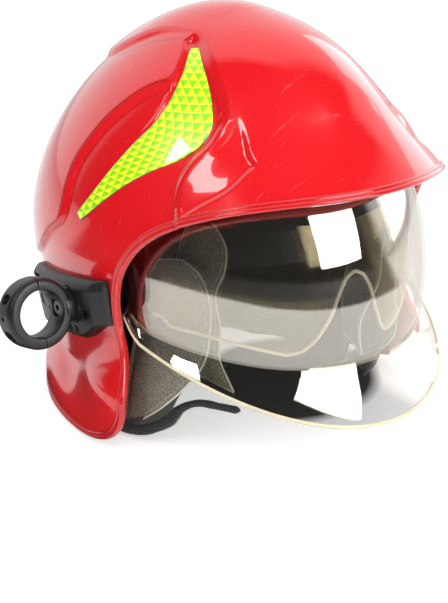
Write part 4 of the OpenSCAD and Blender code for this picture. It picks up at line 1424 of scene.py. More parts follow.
@dataclass(frozen=True)
class VisorForm:
    """An ellipsoid about an axis along X, flattened at the ears.

    Attributes:
        half_w: half width.
        reach: reach forward from its middle.
        thick: wall thickness.
        mid_y: place of the axis.
        mid_z: height of the axis.
        ear_r: radius of the first meridian at the ear.
        flat_r: radius within which the ear is flat.
    """

    half_w: float
    reach: float
    thick: float
    mid_y: float = 8.0
    mid_z: float = 108.0
    ear_r: float = 22.0
    flat_r: float = 28.0

    def point(self, side: Array, r: Array, a: Array, off: float) -> Array:
        """Points of the visor.

        Args:
            side: the side of each, as the sign of X.
            r: meridian radii.
            a: angles over level, in degrees.
            off: depth under the outer face.

        Returns:
            The points.
        """
        q = r * (self.reach - off) / self.reach
        w = self.half_w - off
        x = np.minimum(w * np.sqrt(np.maximum(0, 1 - (q / (self.reach - off)) ** 2)), w - 3)
        a = np.radians(a)
        return np.stack(np.broadcast_arrays(
            side * x, self.mid_y - q * np.cos(a), self.mid_z + q * np.sin(a)), -1)

    def meridians(self, n: int) -> tuple[Array, Array]:
        """Side and radius of each meridian from the right ear to the left.

        Args:
            n: how many there are on each side in front of the ear.

        Returns:
            The sides and the radii.
        """
        s = np.linspace(0, 1, n)
        low = math.degrees(math.asin(self.flat_r / self.reach))
        r = self.reach * np.sin(np.radians(low + (90 - low) * (1 - s) ** 0.85))
        half = np.concatenate([r, [26.0, 24.0, self.ear_r]])
        return (np.concatenate([-np.ones(len(half)), np.ones(len(half) - 1)]),
                np.concatenate([half[::-1], half[1:]]))

    def height_angle(self, z: Array | float, r: Array, lo: float, hi: float) -> Array:
        """Angle at which a meridian reaches height z, held within limits."""
        return np.clip(np.degrees(np.arcsin(np.clip((z - self.mid_z) / r, -0.99, 0.99))), lo, hi)


@dataclass(frozen=True)
class FaceShield:
    """Half-mirrored face shield with a creased, flared apron and a cream rim bead."""

    form: VisorForm
    top_z: float = 185
    fall: float = 0.145
    lowest: float = -38
    flare_out: float = 24
    flare_down: float = 29
    bow: float = 1.2

    # Outline of the bead, with a groove that gives its double line.
    BEAD = ((-1.35, 0.2), (-1.2, -0.5), (0, -0.7), (1.15, -0.4), (1.35, 0.4), (0.85, 0.85), (1.3, 1.3),
            (1.45, 2.0), (0.8, 2.7), (-0.4, 2.85), (-1.3, 2.2), (-1.35, 0.2))

    def crease_angle(self, r: Array) -> Array:
        """Angle of the crease on each meridian.

        Args:
            r: meridian radii.

        Returns:
            The angles, in degrees.
        """
        k = self.fall
        drop = 108 - 90 + k * self.form.mid_y
        angle = np.degrees(np.arcsin(np.minimum(0.99, drop / r / math.sqrt(1 + k * k))))
        return np.maximum(self.lowest, -angle - math.degrees(math.atan(k)))

    def build(self) -> None:
        """Makes the shield and its bead."""
        f = self.form
        side, r = f.meridians(76)
        top = f.height_angle(self.top_z, r, -30, 55)
        crease = self.crease_angle(r)
        j = np.linspace(0, 1, 44)[None]
        angle = top[:, None] * (1 - j) + crease[:, None] * j
        front = f.point(side[:, None], r[:, None], angle, 0)
        back = f.point(side[:, None], r[:, None], angle, f.thick)
        c = front[:, -1]
        q = r / f.reach
        out = unit(np.stack([c[:, 0] * 0.25, c[:, 1] - f.mid_y, np.zeros(len(c))], 1))
        rim = c + out * (self.flare_out * q ** 1.15)[:, None] - Z * (self.flare_down * q ** 1.3)[:, None]
        d = unit(rim - c)
        n = unit(Z * (d * out).sum(1)[:, None] - out * d[:, 2:3])
        k = np.linspace(0, 1, 18)[1:]
        bow = (self.bow * q)[:, None, None] * (4 * k * (1 - k))[None, :, None]
        skirt = c[:, None] + (rim - c)[:, None] * k[None, :, None] - n[:, None] * bow
        under = skirt - n[:, None] * f.thick
        obj = slab("shield_pane", np.concatenate([front, skirt], 1), np.concatenate([back, under], 1))
        shade_by_angle(obj, 28)
        finish_piece(obj, "clear_shield", "clear_shield", "face_shield", body=Body.SHIELD)
        self.bead(rim, n, d)

    def bead(self, rim: Array, n: Array, d: Array) -> None:
        """Cream edge bead along the apron.

        Args:
            rim: points of the apron's edge.
            n: directions out of the apron.
            d: directions down along it.
        """
        section = spline(self.BEAD, 2)[:-1]
        out, down = section[None, :, :1] * 0.8 - 0.9, section[None, :, 1:] * 0.66 + 0.1
        rings = rim[:, None] + n[:, None] * out + d[:, None] * down
        obj = loft("shield_bead", rings)
        finish_piece(obj, "cream_bead", "clear_shield", body=Body.SHIELD)


@dataclass(frozen=True)
class EyeVisor:
    """Amber eye visor with a nose cut-out and a moulded edge."""

    form: VisorForm
    top_z: float = 157
    low_z: float = 76
    nose_rise: float = 51
    blur: Place = (1, 3, 5, 3, 1)

    NOSE = ((0, 1), (7, 0.93), (12, 0.76), (17, 0.48), (25, 0.19), (32, 0.04), (40, 0))
    LOBES = ((40, 0), (57, 5), (79, 11), (89, 12), (91, 17), (100, 17))
    # Outline of the moulded edge, with a groove along each side.
    EDGE = ((-0.75, 0.2), (-0.2, 0.95), (-0.1, 0.45), (0.1, 0.45), (0.25, 1.0), (0.8, 0.2), (0.5, -0.9),
            (-0.5, -0.9), (-0.75, 0.2))

    def low(self, x: Array) -> Array:
        """Height of the lower edge at distances from the middle.

        Args:
            x: the distances.

        Returns:
            The heights.
        """
        x = np.abs(x)
        nose = np.interp(x, *np.array(self.NOSE).T)
        return self.low_z + self.nose_rise * nose + np.interp(x, *np.array(self.LOBES).T)

    def build(self) -> None:
        """Makes the visor and its edge."""
        f = self.form
        side, r = f.meridians(110)
        x = f.point(side, r, np.zeros(len(r)), 0)[:, 0]
        low = self.low(x)
        blur = np.array(self.blur) / sum(self.blur)
        low = np.convolve(np.pad(low, len(blur) // 2, mode="edge"), blur, "valid")
        top = f.height_angle(self.top_z, r, -30, 55)
        bottom = f.height_angle(low, r, -38, 60)
        j = np.linspace(0, 1, 26)[None]
        angle = top[:, None] * (1 - j) + bottom[:, None] * j
        front = f.point(side[:, None], r[:, None], angle, 0)
        back = f.point(side[:, None], r[:, None], angle, f.thick)
        obj = slab("eye_pane", front, back)
        shade_by_angle(obj, 35)
        finish_piece(obj, "amber_visor", "amber_visor", "eye_visor", body=Body.VISOR)
        path = ((front[:, -1] + back[:, -1]) / 2)[6:-6]
        out = unit(front[:, -1] - back[:, -1])[6:-6]
        edge = sweep("eye_edge", path, spline(self.EDGE, 2)[:-1, ::-1] * 1.15, out)
        finish_piece(edge, "cream_bead", "amber_visor", body=Body.VISOR)


# Torch clamp


@dataclass(frozen=True)
class Boss:
    """A rounded box raised on the bracket's face, or sunk into it, in millimetres.

    Attributes:
        at: its middle, rearward and upward from the bracket's.
        size: its length and height.
        corner: radius of its corners.
        rise: how far it is raised, negative where it is sunk.
        edge: width of its sloping edge.
    """

    at: Pair
    size: Pair
    corner: float
    rise: float
    edge: float = 0.9

    def height(self, u: Array, v: Array) -> Array:
        """What it adds at places on the face.

        Args:
            u: places rearward.
            v: places upward.

        Returns:
            The heights.
        """
        q = np.abs(np.stack([u - self.at[0], v - self.at[1]], -1)) - np.array(self.size) / 2 + self.corner
        d = np.linalg.norm(np.maximum(q, 0), axis=-1) + np.minimum(q.max(-1), 0) - self.corner
        return self.rise * smooth(0.5 - d / self.edge)


@dataclass(frozen=True)
class TorchBracket:
    """Moulded side bracket as one fine relief over the shell, with u rearward and v upward in millimetres."""

    form: ShellForm
    mid_y: float = 36.0
    mid_z: float = 87.0
    fall: float = math.radians(11.5)
    length: float = 104.0
    height: float = 40.0
    thick: float = 10.0
    rim: float = 3.0
    least: float = 1.2
    grid: Pair = (230, 96)
    back: float = 0.1
    teeth: int = 5
    collar: float = 1.2
    collar_rise: float = 0.5

    # Middle, radius and depth of each round recess, and width and height of its collar.
    RECESSES = (((14.4, -3.8), 1.9, 3.2), ((-5.8, -4.2), 1.2, 2.2), ((28.4, -3.0), 1.0, 1.6))
    # Middle, radius and greatest height of the flats under the swivel base and the two screws.
    FLATS = (((-19.0, 3.3), 12.2, 6.1), ((38, -1), 3.4, 4.4), ((-36, -1), 3.4, 7.0))

    def details(self) -> list[Boss]:
        """What is raised on the face or sunk into it, in the order that it is laid down."""
        made = [Boss((13.5, -3.5), (77, 36), 4.0, -1.9, 1.6), Boss((5, 10.2), (56, 10), 1.2, 1.3)]
        for i in range(self.teeth):
            made += [Boss((24.4 - 9.8 * i, 10.0), (4.6, 7.4), 0.9, -3.4),
                     Boss((16.8 - 8.4 * i, -15.2), (4.4, 8.0), 1.0, -3.0)]
        made += [Boss((17.5, -3.2), (19, 14.5), 1.0, 1.7), Boss((-4.5, -3.4), (22, 12), 1.0, 0.9),
                 Boss((-22, 2.8), (20, 3.0), 0.8, 0.9), Boss((-25, -2.4), (2.8, 7.0), 1.3, -2.6)]
        for at, r, deep in self.RECESSES:
            wide = r + self.collar
            made += [Boss(at, (2 * wide,) * 2, wide, self.collar_rise, 0.6),
                     Boss(at, (2 * r,) * 2, r, -(deep + self.collar_rise), 0.6)]
        return made + [Boss((47, 13.4), (5.0, 8.0), 2.4, -3.2), Boss((35.5, 12.4), (13, 6.4), 1.6, -3.4),
                       Boss((33.5, 12.2), (7.5, 2.6), 1.1, 2.8)]

    def low(self, u: Array) -> Array:
        """Lower edge at each u, which rises towards the front."""
        return -self.height / 2 + 11 * smooth((-20 - u) / 32)

    def front(self, v: Array) -> Array:
        """Front end at each v, which leans back."""
        return -self.length / 2 + 2.8 - 0.12 * (v + self.height / 2)

    def thickness(self, u: Array, v: Array) -> Array:
        """Height of the moulding over the shell.

        Args:
            u: places rearward.
            v: places upward.

        Returns:
            The heights.
        """
        top, low, end = self.height / 2 - v, v - self.low(u), u - self.front(v)
        ends = top / 6, (low + 1) / 4, (end + 0.5) / 9, (52.5 - u) / 5
        rounded = [np.sqrt(np.clip(t, 0, 1)) for t in ends]
        t = self.rim + (self.thick - self.rim) * rounded[0] * rounded[1] * rounded[2] * (
            0.75 + 0.25 * rounded[3])
        for boss in self.details():
            t = t + boss.height(u, v)
        for at, r, level in self.FLATS:
            t = np.where(np.hypot(u - at[0], v - at[1]) < r, np.minimum(t, level), t)
        return np.maximum(t, self.least)

    def place(self, u: Array, v: Array, t: Array) -> Array:
        """Points over the shell.

        Args:
            u: places rearward.
            v: places upward.
            t: heights over the shell.

        Returns:
            The points.
        """
        c, s = math.cos(self.fall), math.sin(self.fall)
        y, z = self.mid_y + u * c + v * s, self.mid_z - u * s + v * c
        base = np.stack([-self.form.half_width(y, z), y, z], -1)
        return base - (self.form.relief(base) + t)[..., None] * X

    def build(self) -> None:
        """Makes the bracket."""
        i, j = np.linspace(0, 1, self.grid[0])[:, None], np.linspace(0, 1, self.grid[1])[None]
        low = self.low(self.length * (i - 0.5))
        v = self.height / 2 * (1 - j) + low * j
        u = self.front(v) * (1 - i) + self.length / 2 * i
        face, back = (self.place(u, v, t) for t in (self.thickness(u, v), np.full(u.shape, self.back)))
        obj = slab("bracket_moulding", face, back)
        shade_by_angle(obj, 38)
        finish_piece(obj, "bracket_plastic", "bracket_plastic", "torch_bracket")


@dataclass(frozen=True)
class TorchRing:
    """Two halves of the torch ring: rounded outside, split above and below, with slots and a screw seat."""

    centre: Place = (-151.4808, 18.0, 94.0)
    lean: float = math.radians(12)
    radius: float = 18.5
    gap: float = 0.8
    boss: float = -128.48
    seat: float = -133.5

    # Turn in degrees round the ring, and half width and half height of each slot.
    SLOTS = ((34, (4.4, 3.4)), (-30, (4.8, 4.2)), (2, (1.5, 1.5)))

    def profile(self) -> Array:
        """Section of the ring as (outwards from its radius, along its axis)."""
        t = np.linspace(0, math.pi / 2, 7)
        r = np.concatenate([[15.0, 15.5], 19.2 + 3.25 * np.sin(t)]) - self.radius
        h = np.concatenate([[8.9, 9.5], 4.6 + 4.9 * np.cos(t)])
        return np.concatenate([np.stack([r, h], 1), np.stack([r, -h], 1)[::-1]])

    def half(self, name: str, first: float) -> Piece:
        """One half of the ring.

        Args:
            name: the half's name.
            first: the bearing in degrees, from the helmet's side, of the split that it starts at.

        Returns:
            The new object.
        """
        a = np.radians(np.linspace(first + self.gap, first + 180 - self.gap, 61))[:, None]
        axis = np.array([0.0, -math.cos(self.lean), math.sin(self.lean)])
        rise = np.array([0.0, math.sin(self.lean), math.cos(self.lean)])
        path = np.array(self.centre) + self.radius * (np.cos(a) * X + np.sin(a) * rise)
        return sweep(name, path, self.profile(), axis)

    def slot(self, turn: float, size: Pair) -> Piece:
        """A tool for an oval hole through the outer half.

        Args:
            turn: its turn round the ring in degrees.
            size: half its width and height in millimetres.

        Returns:
            The tool.
        """
        tool = cylinder("slot", (0, 0, 0), 1.0, 12, 40)
        lean = Matrix.Rotation(-self.lean, 4, "X") @ Matrix.Rotation(math.radians(turn), 4, "Y")
        tool.data.transform(
            Matrix.Translation(Vector(self.centre) * MM) @ lean
            @ Matrix.Translation(Vector((-19.5, 0, 0)) * MM) @ Matrix.Diagonal((1, *size, 1)))
        return tool

    def build(self) -> None:
        """Makes both halves."""
        outer = self.half("torch_ring_outer_half", 90)
        cut(outer, [self.slot(turn, size) for turn, size in self.SLOTS])
        inner = self.half("torch_ring_inner_half", -90)
        x, y, z = self.centre
        boss = cylinder("boss", (self.boss - 3, y, z), 10.5, 6, 64)
        cut(boss, [cylinder("ring_room", (self.boss - 8, y, z), 7.5, 6)])
        cut(inner, [boss], "UNION")
        cut(inner, [cylinder("seat", ((x + self.seat) / 2, y, z), 5.7, self.seat - x),
                    cylinder("hole", (x + 15, y, z), 2.8, 60, 32)])
        for obj, node in ((outer, "torch_ring_outer"), (inner, "torch_ring_inner")):
            round_edges(obj, 0.45, 2, 42)
            finish_piece(obj, "bracket_plastic", "bracket_plastic", node, body=Body.TORCH)


# Soft goods


def flap_x(y: Array, z: Array) -> Array:
    """Distance of the ear flap's inner face from the middle plane."""
    return 83.7 - 15 * np.clip((-18 - y) / 44, 0, 1) ** 1.4 + 9 * smooth((88 - z) / 60)


def pad_x(y: Array, z: Array) -> Array:
    """Distance of the cheek pad's inner face from the middle plane."""
    return 73 - 13 * np.clip((-12 - y) / 50, 0, 1) ** 1.5 - 14 * smooth((105 - z) / 60)


def stitches(name: str, path: Array, pitch: float = 3.0, length: float = 2.1,
             radius: float = 0.32) -> Piece:
    """A row of thread stitches along a path, each dipping in at its ends.

    Args:
        name: the row's name.
        path: the points that it follows, in millimetres.
        pitch: from one stitch to the next.
        length: a stitch's length.
        radius: the thread's radius.

    Returns:
        The new object.
    """
    s = lengths(path)
    size = radius * np.array([0.3, 0.9, 1.0, 0.9, 0.3])
    rows, sides = len(size), 6
    t = np.arange(1.0, s[-1] - length, pitch)[:, None] + np.linspace(0, length, rows)[None]
    c = np.stack([np.interp(t, s, path[:, k]) for k in range(3)], -1)
    d = unit(c[:, -1] - c[:, 0])
    side = unit(np.cross(d, X))
    up = np.cross(side, d)
    a = np.linspace(0, 2 * math.pi, sides, endpoint=False)
    turn = side[:, None] * np.cos(a)[None, :, None] + up[:, None] * np.sin(a)[None, :, None]
    rings = c[:, :, None] + turn[:, None] * size[None, :, None, None]
    faces = []
    for i in range(len(c)):
        b = i * rows * sides
        faces += [tuple(b + k for k in quad) for quad in loft_faces(rows, sides)]
        last = b + (rows - 1) * sides
        faces += [tuple(b + k for k in reversed(range(sides))), tuple(last + k for k in range(sides))]
    return new_mesh(name, rings.reshape(-1, 3), faces)


@dataclass(frozen=True)
class PanelForm:
    """A padded leather panel inside the helmet, on the wearer's left, in millimetres.

    Attributes:
        name: what its pieces' names start with.
        node: the CAD node that it stands for, without its side.
        rear: its rear edge from the top down, as (y, z).
        fore: its front edge from the top down, as (y, z).
        thick: its thickness at its fullest.
        inner_x: distance of its inner face from the middle plane.
        finish: its leather.
        seam_z: height of a seam across it.
    """

    name: str
    node: str
    rear: tuple[Pair, ...]
    fore: tuple[Pair, ...]
    thick: float
    inner_x: Callable[[Array, Array], Array]
    finish: str
    seam_z: float


class LeatherPanel:
    """A padded panel with a flat sewn hem, a white piping and stitches on both faces."""

    ROWS, COLS, HEM, CORD, FILL = 84, 46, 2.7, 0.62, 0.5
    # Height of each fold, its waves along y and z, and where it starts.
    FOLDS = ((0.35, 0.23, 0.08, 0), (0.3, -0.1, 0.14, 1.3), (0.16, 0.46, -0.31, 0), (0.12, 0.4, 0.5, 0))

    def __init__(self, form: PanelForm) -> None:
        """Samples the panel's edges.

        Args:
            form: the panel's form.
        """
        self.form = form
        self.rear = resample(spline(form.rear, 10), self.ROWS)
        self.fore = resample(spline(form.fore, 10), self.ROWS)
        self.loop = np.concatenate([self.rear, self.fore[::-1]])

    def faces_at(self, yz: Array) -> tuple[Array, Array]:
        """Inner and outer points over places in the side view.

        Args:
            yz: the places.

        Returns:
            The inner and the outer points.
        """
        f = self.form
        y, z = yz[..., 0], yz[..., 1]
        ring = np.concatenate([self.loop, self.loop[:1]])
        edge = line_distance(yz.reshape(-1, 2), ring).reshape(y.shape)
        full = 0.3 + 0.7 * smooth((edge - 2.3) / 9) - 0.12 * np.exp(-((edge - self.HEM) / 0.7) ** 2)
        seam = 1 - 0.5 * np.exp(-((z - f.seam_z) / 1.6) ** 2)
        full = full * np.sqrt(np.clip(0.12 + edge / 0.9, 0, 1)) * seam
        waves = sum(high * np.sin(along * y + up * z + first) for high, along, up, first in self.FOLDS)
        fold = waves * smooth((edge - 2) / 10)
        x = f.inner_x(y, z) + f.thick / 2
        half = f.thick / 2 * full
        return (np.stack([x - half - 0.4 * fold, y, z], -1), np.stack([x + half + fold, y, z], -1))

    def build(self) -> None:
        """Makes the panel, its piping and its stitches on both sides of the helmet."""
        f = self.form
        k = 0.5 - 0.5 * np.cos(np.linspace(0, math.pi, self.COLS))
        yz = self.rear[:, None] * (1 - k)[None, :, None] + self.fore[:, None] * k[None, :, None]
        inner, outer = self.faces_at(yz)
        panel = slab(f"{f.name}_left", outer, inner)
        low, high = self.faces_at(self.loop)
        section = oval(self.CORD, self.CORD, 10)
        cord = sweep(f"{f.name}_piping_left", (low + high) / 2, section, X, closed=True)
        width = np.linalg.norm(self.fore - self.rear, axis=1)[:, None]
        step = (self.fore - self.rear) / np.maximum(width, TINY) * self.HEM
        row = np.arange(self.ROWS)
        wide = (width[:, 0] > 3.5 * self.HEM) & (row > 3) & (row < self.ROWS - 3)
        rows = []
        for edge in ((self.rear + step)[wide], (self.fore - step)[wide]):
            for face, out in zip(self.faces_at(edge), (-1, 1)):
                rows.append(stitches("row", face + 0.12 * out * X))
        thread = join(f"{f.name}_stitches_left", rows)
        for obj, finish in ((panel, f.finish), (cord, "piping"), (thread, "stitch_thread")):
            for side, piece in both_sides(obj):
                nodes = (f"{f.node}_{side.tag}",) if obj is panel else ()
                finish_piece(piece, finish, f.finish, *nodes)


EAR_FLAP = PanelForm(
    "flap_leather", "ear_flap", ((-22, 127), (-10, 112), (-1, 98), (4, 74), (4, 50), (6, 24), (7, 9)),
    ((-40, 131), (-52, 123), (-58, 107), (-58, 88), (-54, 62), (-32, 33), (2, 8)),
    5.0, flap_x, "flap_leather", 300.0)
CHEEK_PAD = PanelForm(
    "cheek_leather", "cheek_pad",
    ((-34, 154), (-27, 139), (-21, 121), (-13, 104), (-10, 86), (-14, 64), (-24, 44)),
    ((-52, 154), (-60, 141), (-59, 125), (-53, 110), (-53, 88), (-44, 60), (-52, 40)),
    3.4, pad_x, "pad_leather", 110.0)


@dataclass(frozen=True)
class Hem:
    """Soft black roll under the ear flap, with a white piping along its lower edge."""

    points: int = 96
    web_points: int = 40
    web_end: int = 42
    web_half: float = 0.8
    wide: float = 3.3
    high: float = 5.0
    cord: float = 0.75
    fill: float = 0.6

    PATH = ((97, 14, 6), (95, 0, 7.5), (90, -12, 11), (83, -24, 19), (79, -36, 31), (72, -44, 35),
            (61, -50, 32), (49, -56, 28))
    FLAP_EDGE = ((2, 12), (-10, 20), (-24, 30), (-38, 43), (-48, 56))

    def web(self, path: Array) -> Piece:
        """Black cloth between the flap's lower edge and the roll.

        Args:
            path: points of the roll's middle.

        Returns:
            The new object.
        """
        flap = resample(spline(self.FLAP_EDGE, 10), self.web_points)
        edge = np.stack([flap_x(flap[:, 0], flap[:, 1]) + 1.4, flap[:, 0], flap[:, 1]], 1)
        foot = resample(path[:self.web_end], self.web_points)
        k = np.linspace(0, 1, 14)
        mid = edge[:, None] * (1 - k)[None, :, None] + foot[:, None] * k[None, :, None]
        s = np.linspace(0, 1, self.web_points)[:, None]
        bulge = 1.6 * np.sin(math.pi * k)[None] + 0.3 * np.sin(5 * s * math.pi) * np.sin(math.pi * k)[None]
        outer, inner = (mid + X * (bulge + off)[..., None] for off in (self.web_half, -self.web_half))
        return slab("hem_web", outer, inner)

    def build(self) -> None:
        """Makes the roll and its piping on both sides."""
        path = resample(spline(self.PATH, 14), self.points)
        s = np.linspace(0, 1, len(path))
        ends = np.sqrt(np.clip(np.minimum(s, 1 - s) / 0.03, 0.02, 1))
        uneven = 0.02 * np.sin(s * 34) + 0.012 * np.sin(s * 71 + 1)
        size = ends * (1.0 - 0.5 * smooth((s - 0.42) / 0.22) + uneven)
        up = np.array([0.25, 0.0, 1.0])
        roll = sweep("hem_roll_left", path, oval(self.wide, self.high, 22, 0.85), up, scale=size)
        roll = join("hem_roll_left", [roll, self.web(path)])
        side, lift = frames(path, False, np.broadcast_to(up, path.shape))
        low = path - lift * (self.high * size)[:, None] + side * 0.6
        cord = sweep("hem_piping_left", low[3:-3], oval(self.cord, self.cord, 10), up)
        for obj, finish in ((roll, "black_cloth"), (cord, "piping")):
            for hem_side, piece in both_sides(obj):
                nodes = (f"flap_hem_{hem_side.tag}",) if obj is roll else ()
                finish_piece(piece, finish, "black_cloth", *nodes)


@dataclass(frozen=True)
class Curtain:
    """Neck curtain gathered under the rear of the shell."""

    form: ShellForm
    top: float = 98
    span: float = 92
    cols: int = 300
    outer: float = 0.3
    inner: float = 1.6
    hem_z: float = 6.2
    seam_z: float = 11.0

    def point(self, b: Array, z: Array, off: float) -> Array:
        """Points of the curtain.

        Args:
            b: bearings from the rear.
            z: heights.
            off: distance inside the outer face.

        Returns:
            The points.
        """
        f = self.form
        k = (1 - (np.abs(z - f.mid_z) / f.down) ** f.side) ** (1 / f.side)
        hang = smooth((self.top - z) / 45)
        fold = 3.5 * hang * (0.5 + 0.5 * np.cos(14 * b)) + 0.7 * hang * np.sin(23 * b + 0.02 * z)
        inset = 3.3 + 1.2 * smooth((self.top - z) / 8) + 6 * hang + off + fold
        y = np.where(np.cos(b) > 0, f.rear, f.front)
        return np.stack([(f.half_w * k - inset) * np.sin(b), f.mid_y + (y * k - inset) * np.cos(b), z], -1)

    def build(self) -> None:
        """Makes the sheet, its turned hem and its row of stitches."""
        b = np.radians(np.linspace(-self.span, self.span, self.cols))[None]
        z = np.concatenate([np.linspace(self.top, 8, 46), [6.6, 5.4]])[:, None]
        outer, inner = (self.point(*np.broadcast_arrays(b, z), off) for off in (self.outer, self.inner))
        obj = slab("curtain_cloth", outer, inner)
        finish_piece(obj, "black_cloth", "black_cloth", "neck_curtain")
        edge = self.point(b[0], np.full(self.cols, self.hem_z), (self.outer + self.inner) / 2)
        hem = sweep("curtain_hem", edge, oval(1.0, 2.0, 12, 0.7), Z)
        finish_piece(hem, "webbing", "black_cloth")
        seam = self.point(b[0], np.full(self.cols, self.seam_z), 0.2)
        row = stitches("curtain_stitches", seam, 3.6, 2.4, 0.25)
        finish_piece(row, "black_thread", "black_cloth")


@dataclass(frozen=True)
class Harness:
    """Webbing, headband pads and chin straps that hold the head."""

    tilt: float = math.radians(-12)
    mid_y: float = 13.0
    band_z: float = 108.0
    pad_reach: Pair = (67.9, 88.9)
    pad_z: float = 7.0
    channel: float = 26
    fill: float = 0.6
    arc_z: float = 15
    arc_width: float = 22
    arc_thick: float = 1.2
    cross_half: float = 8
    cross_z: float = 113.7 + 0.8
    chin_x: float = 79
    chin_y: float = 24.0
    chin_z: float = 91.7
    chin_width: float = 20
    chin_thick: float = 1.5
    bar_z: float = 86.0

    # Each arc over the head: its reach, its rise and the axis that it runs along.
    ARCS = ((90.7, 99.4, 1), (69.7, 98.0, 0))

    def on_band(self, p: Array) -> Array:
        """Places of points that are given in the tilted headband's own space."""
        c, s = math.cos(self.tilt), math.sin(self.tilt)
        return np.stack([p[..., 0], self.mid_y + p[..., 1] * c - p[..., 2] * s,
                         self.band_z + p[..., 1] * s + p[..., 2] * c], -1)

    def pad(self, name: str, node: str, span: Pair) -> None:
        """A crowned pad on the inside of the headband, with sewn channels.

        Args:
            name: the pad's name.
            node: the CAD node that it stands for.
            span: its first and last bearing from the front, in degrees.
        """
        a = np.radians(np.linspace(*span, 90))
        wide, long = self.pad_reach
        path = np.stack([wide * np.sin(a), -long * np.cos(a), np.full(len(a), self.pad_z)], 1)
        s = np.linspace(0, 1, len(a))
        n = max(3, round((span[1] - span[0]) / self.channel))
        size = (np.sqrt(np.clip(np.minimum(s, 1 - s) / 0.035, 0.03, 1))
                * (0.86 + 0.14 * np.abs(np.sin(math.pi * n * s)) ** 0.5))
        up = self.on_band(Z[None])[0] - self.on_band(np.zeros((1, 3)))[0]
        obj = sweep(name, self.on_band(path), oval(2.6, 6.1, 24, 0.75), up, scale=size)
        finish_piece(obj, "dark_leather", "dark_leather", node)

    def strip(self, name: str, line: Array, across: Array, out: Array, width: float, thick: float) -> Piece:
        """Webbing along a line: a thin band with thicker selvages.

        Args:
            name: the strip's name.
            line: points of its middle.
            across: directions of its width.
            out: directions of its thickness.
            width: its width.
            thick: its thickness.

        Returns:
            The new object.
        """
        k = np.linspace(-0.5, 0.5, 15)
        raised = 0.18 * np.exp(-((np.abs(k) - 0.44) / 0.04) ** 2) - 0.25 * (np.abs(k) > 0.49)
        mid = line[:, None] + across[:, None] * (k * width)[None, :, None]
        rise = out[:, None] * (thick / 2 + raised)[None, :, None]
        return slab(name, mid + rise, mid - rise)

    def crown(self) -> None:
        """Two webbing arcs that cross over the head, sewn together where they cross."""
        a = np.linspace(0, math.pi, 80)
        parts = []
        for reach, rise, axis in self.ARCS:
            line, out, across = np.zeros((3, len(a), 3))
            line[:, axis] = reach * np.cos(a)
            line[:, 2] = rise * np.sin(a) + self.arc_z
            out[:, axis], out[:, 2] = np.cos(a) / reach, np.sin(a) / rise
            across[:, 1 - axis] = 1
            parts.append(self.strip("arc", line, across, unit(out), self.arc_width, self.arc_thick))
        h = self.cross_half
        corners = (-h, -h), (h, -h), (h, h), (-h, h), (-h, -h)
        box = np.array([(*corner, self.cross_z) for corner in corners], float)
        seam = stitches("sewn_cross", self.on_band(resample(box, 60)), 2.6, 1.9, 0.3)
        obj = join("crown_webbing", parts)
        obj.data.vertices.foreach_set("co", (self.on_band(self.points(obj)) * MM).astype(np.float32).ravel())
        obj.data.update()
        finish_piece(obj, "webbing", "webbing", "crown_straps")
        finish_piece(seam, "stitch_thread", "webbing")

    def points(self, obj: Piece) -> Array:
        """Points of a piece in millimetres.

        Args:
            obj: the piece.

        Returns:
            Its points, one row each.
        """
        co = np.zeros(len(obj.data.vertices) * 3, np.float32)
        obj.data.vertices.foreach_get("co", co)
        return co.reshape(-1, 3).astype(float) / MM

    def chin(self, side: Side, length: float) -> None:
        """A chin strap end that hangs from the liner to its half of the buckle.

        Args:
            side: the side that it is on.
            length: how far it hangs, in millimetres.
        """
        t = np.linspace(0, 1, 40)
        wave = 0.35 * np.sin(t * math.pi) * np.sin(t * 9)
        line = np.stack([side.value * (self.chin_x + wave), np.full(len(t), self.chin_y),
                         self.chin_z - t * length], 1)
        across = np.tile([0, 1.0, 0], (len(t), 1))
        out = np.tile(side.value * X, (len(t), 1))
        obj = self.strip(f"chin_webbing_{side.tag}", line, across, out, self.chin_width, self.chin_thick)
        bar = np.array([(side.value * (self.chin_x + 1.0), y, self.bar_z) for y in np.linspace(16, 32, 30)])
        row = stitches(f"chin_stitches_{side.tag}", bar, 2.6, 1.9, 0.3)
        finish_piece(obj, "webbing", "webbing", f"chin_strap_{side.tag}")
        finish_piece(row, "stitch_thread", "webbing")

    def build(self) -> None:
        """Makes every soft piece of the harness."""
        self.pad("brow_leather", "brow_pad", (-52, 52))
        self.pad("nape_leather", "nape_pad", (148, 212))
        self.crown()
        self.chin(Side.RIGHT, 36)
        self.chin(Side.LEFT, 30)


# Studio


@dataclass(frozen=True)
class Lamp:
    """A soft box that fills a window of directions seen from the helmet.

    Attributes:
        name: the lamp's name.
        az: bearings of its sides, 0 in front and positive to the wearer's left, in degrees.
        el: heights of its lower and upper edges, in degrees.
        level: its radiance.
        gloss_only: whether it shows only as a reflection.
    """

    name: str
    az: Pair
    el: Pair
    level: float
    gloss_only: bool = False

    AWAY, CENTRE = 2.0, (0, 0, 0.13)

    def build(self) -> None:
        """Makes the lamp."""
        a, e = math.radians(sum(self.az) / 2), math.radians(sum(self.el) / 2)
        aim = Vector((math.sin(a) * math.cos(e), -math.cos(a) * math.cos(e), math.sin(e)))
        data = bpy.data.lights.new(self.name, "AREA")
        data.shape = "RECTANGLE"
        wide, high = (2 * self.AWAY * math.tan(math.radians(b - a) / 2) for a, b in (self.az, self.el))
        data.size, data.size_y = wide * math.cos(e), high
        data.energy = self.level * math.pi * data.size * data.size_y
        obj = link(self.name, data)
        obj.location = aim * self.AWAY + Vector(self.CENTRE)
        obj.rotation_euler = aim.to_track_quat("Z", "Y").to_euler()
        obj.visible_diffuse = not self.gloss_only
        obj.visible_glossy = self.gloss_only
        obj.visible_transmission = obj.visible_camera = False


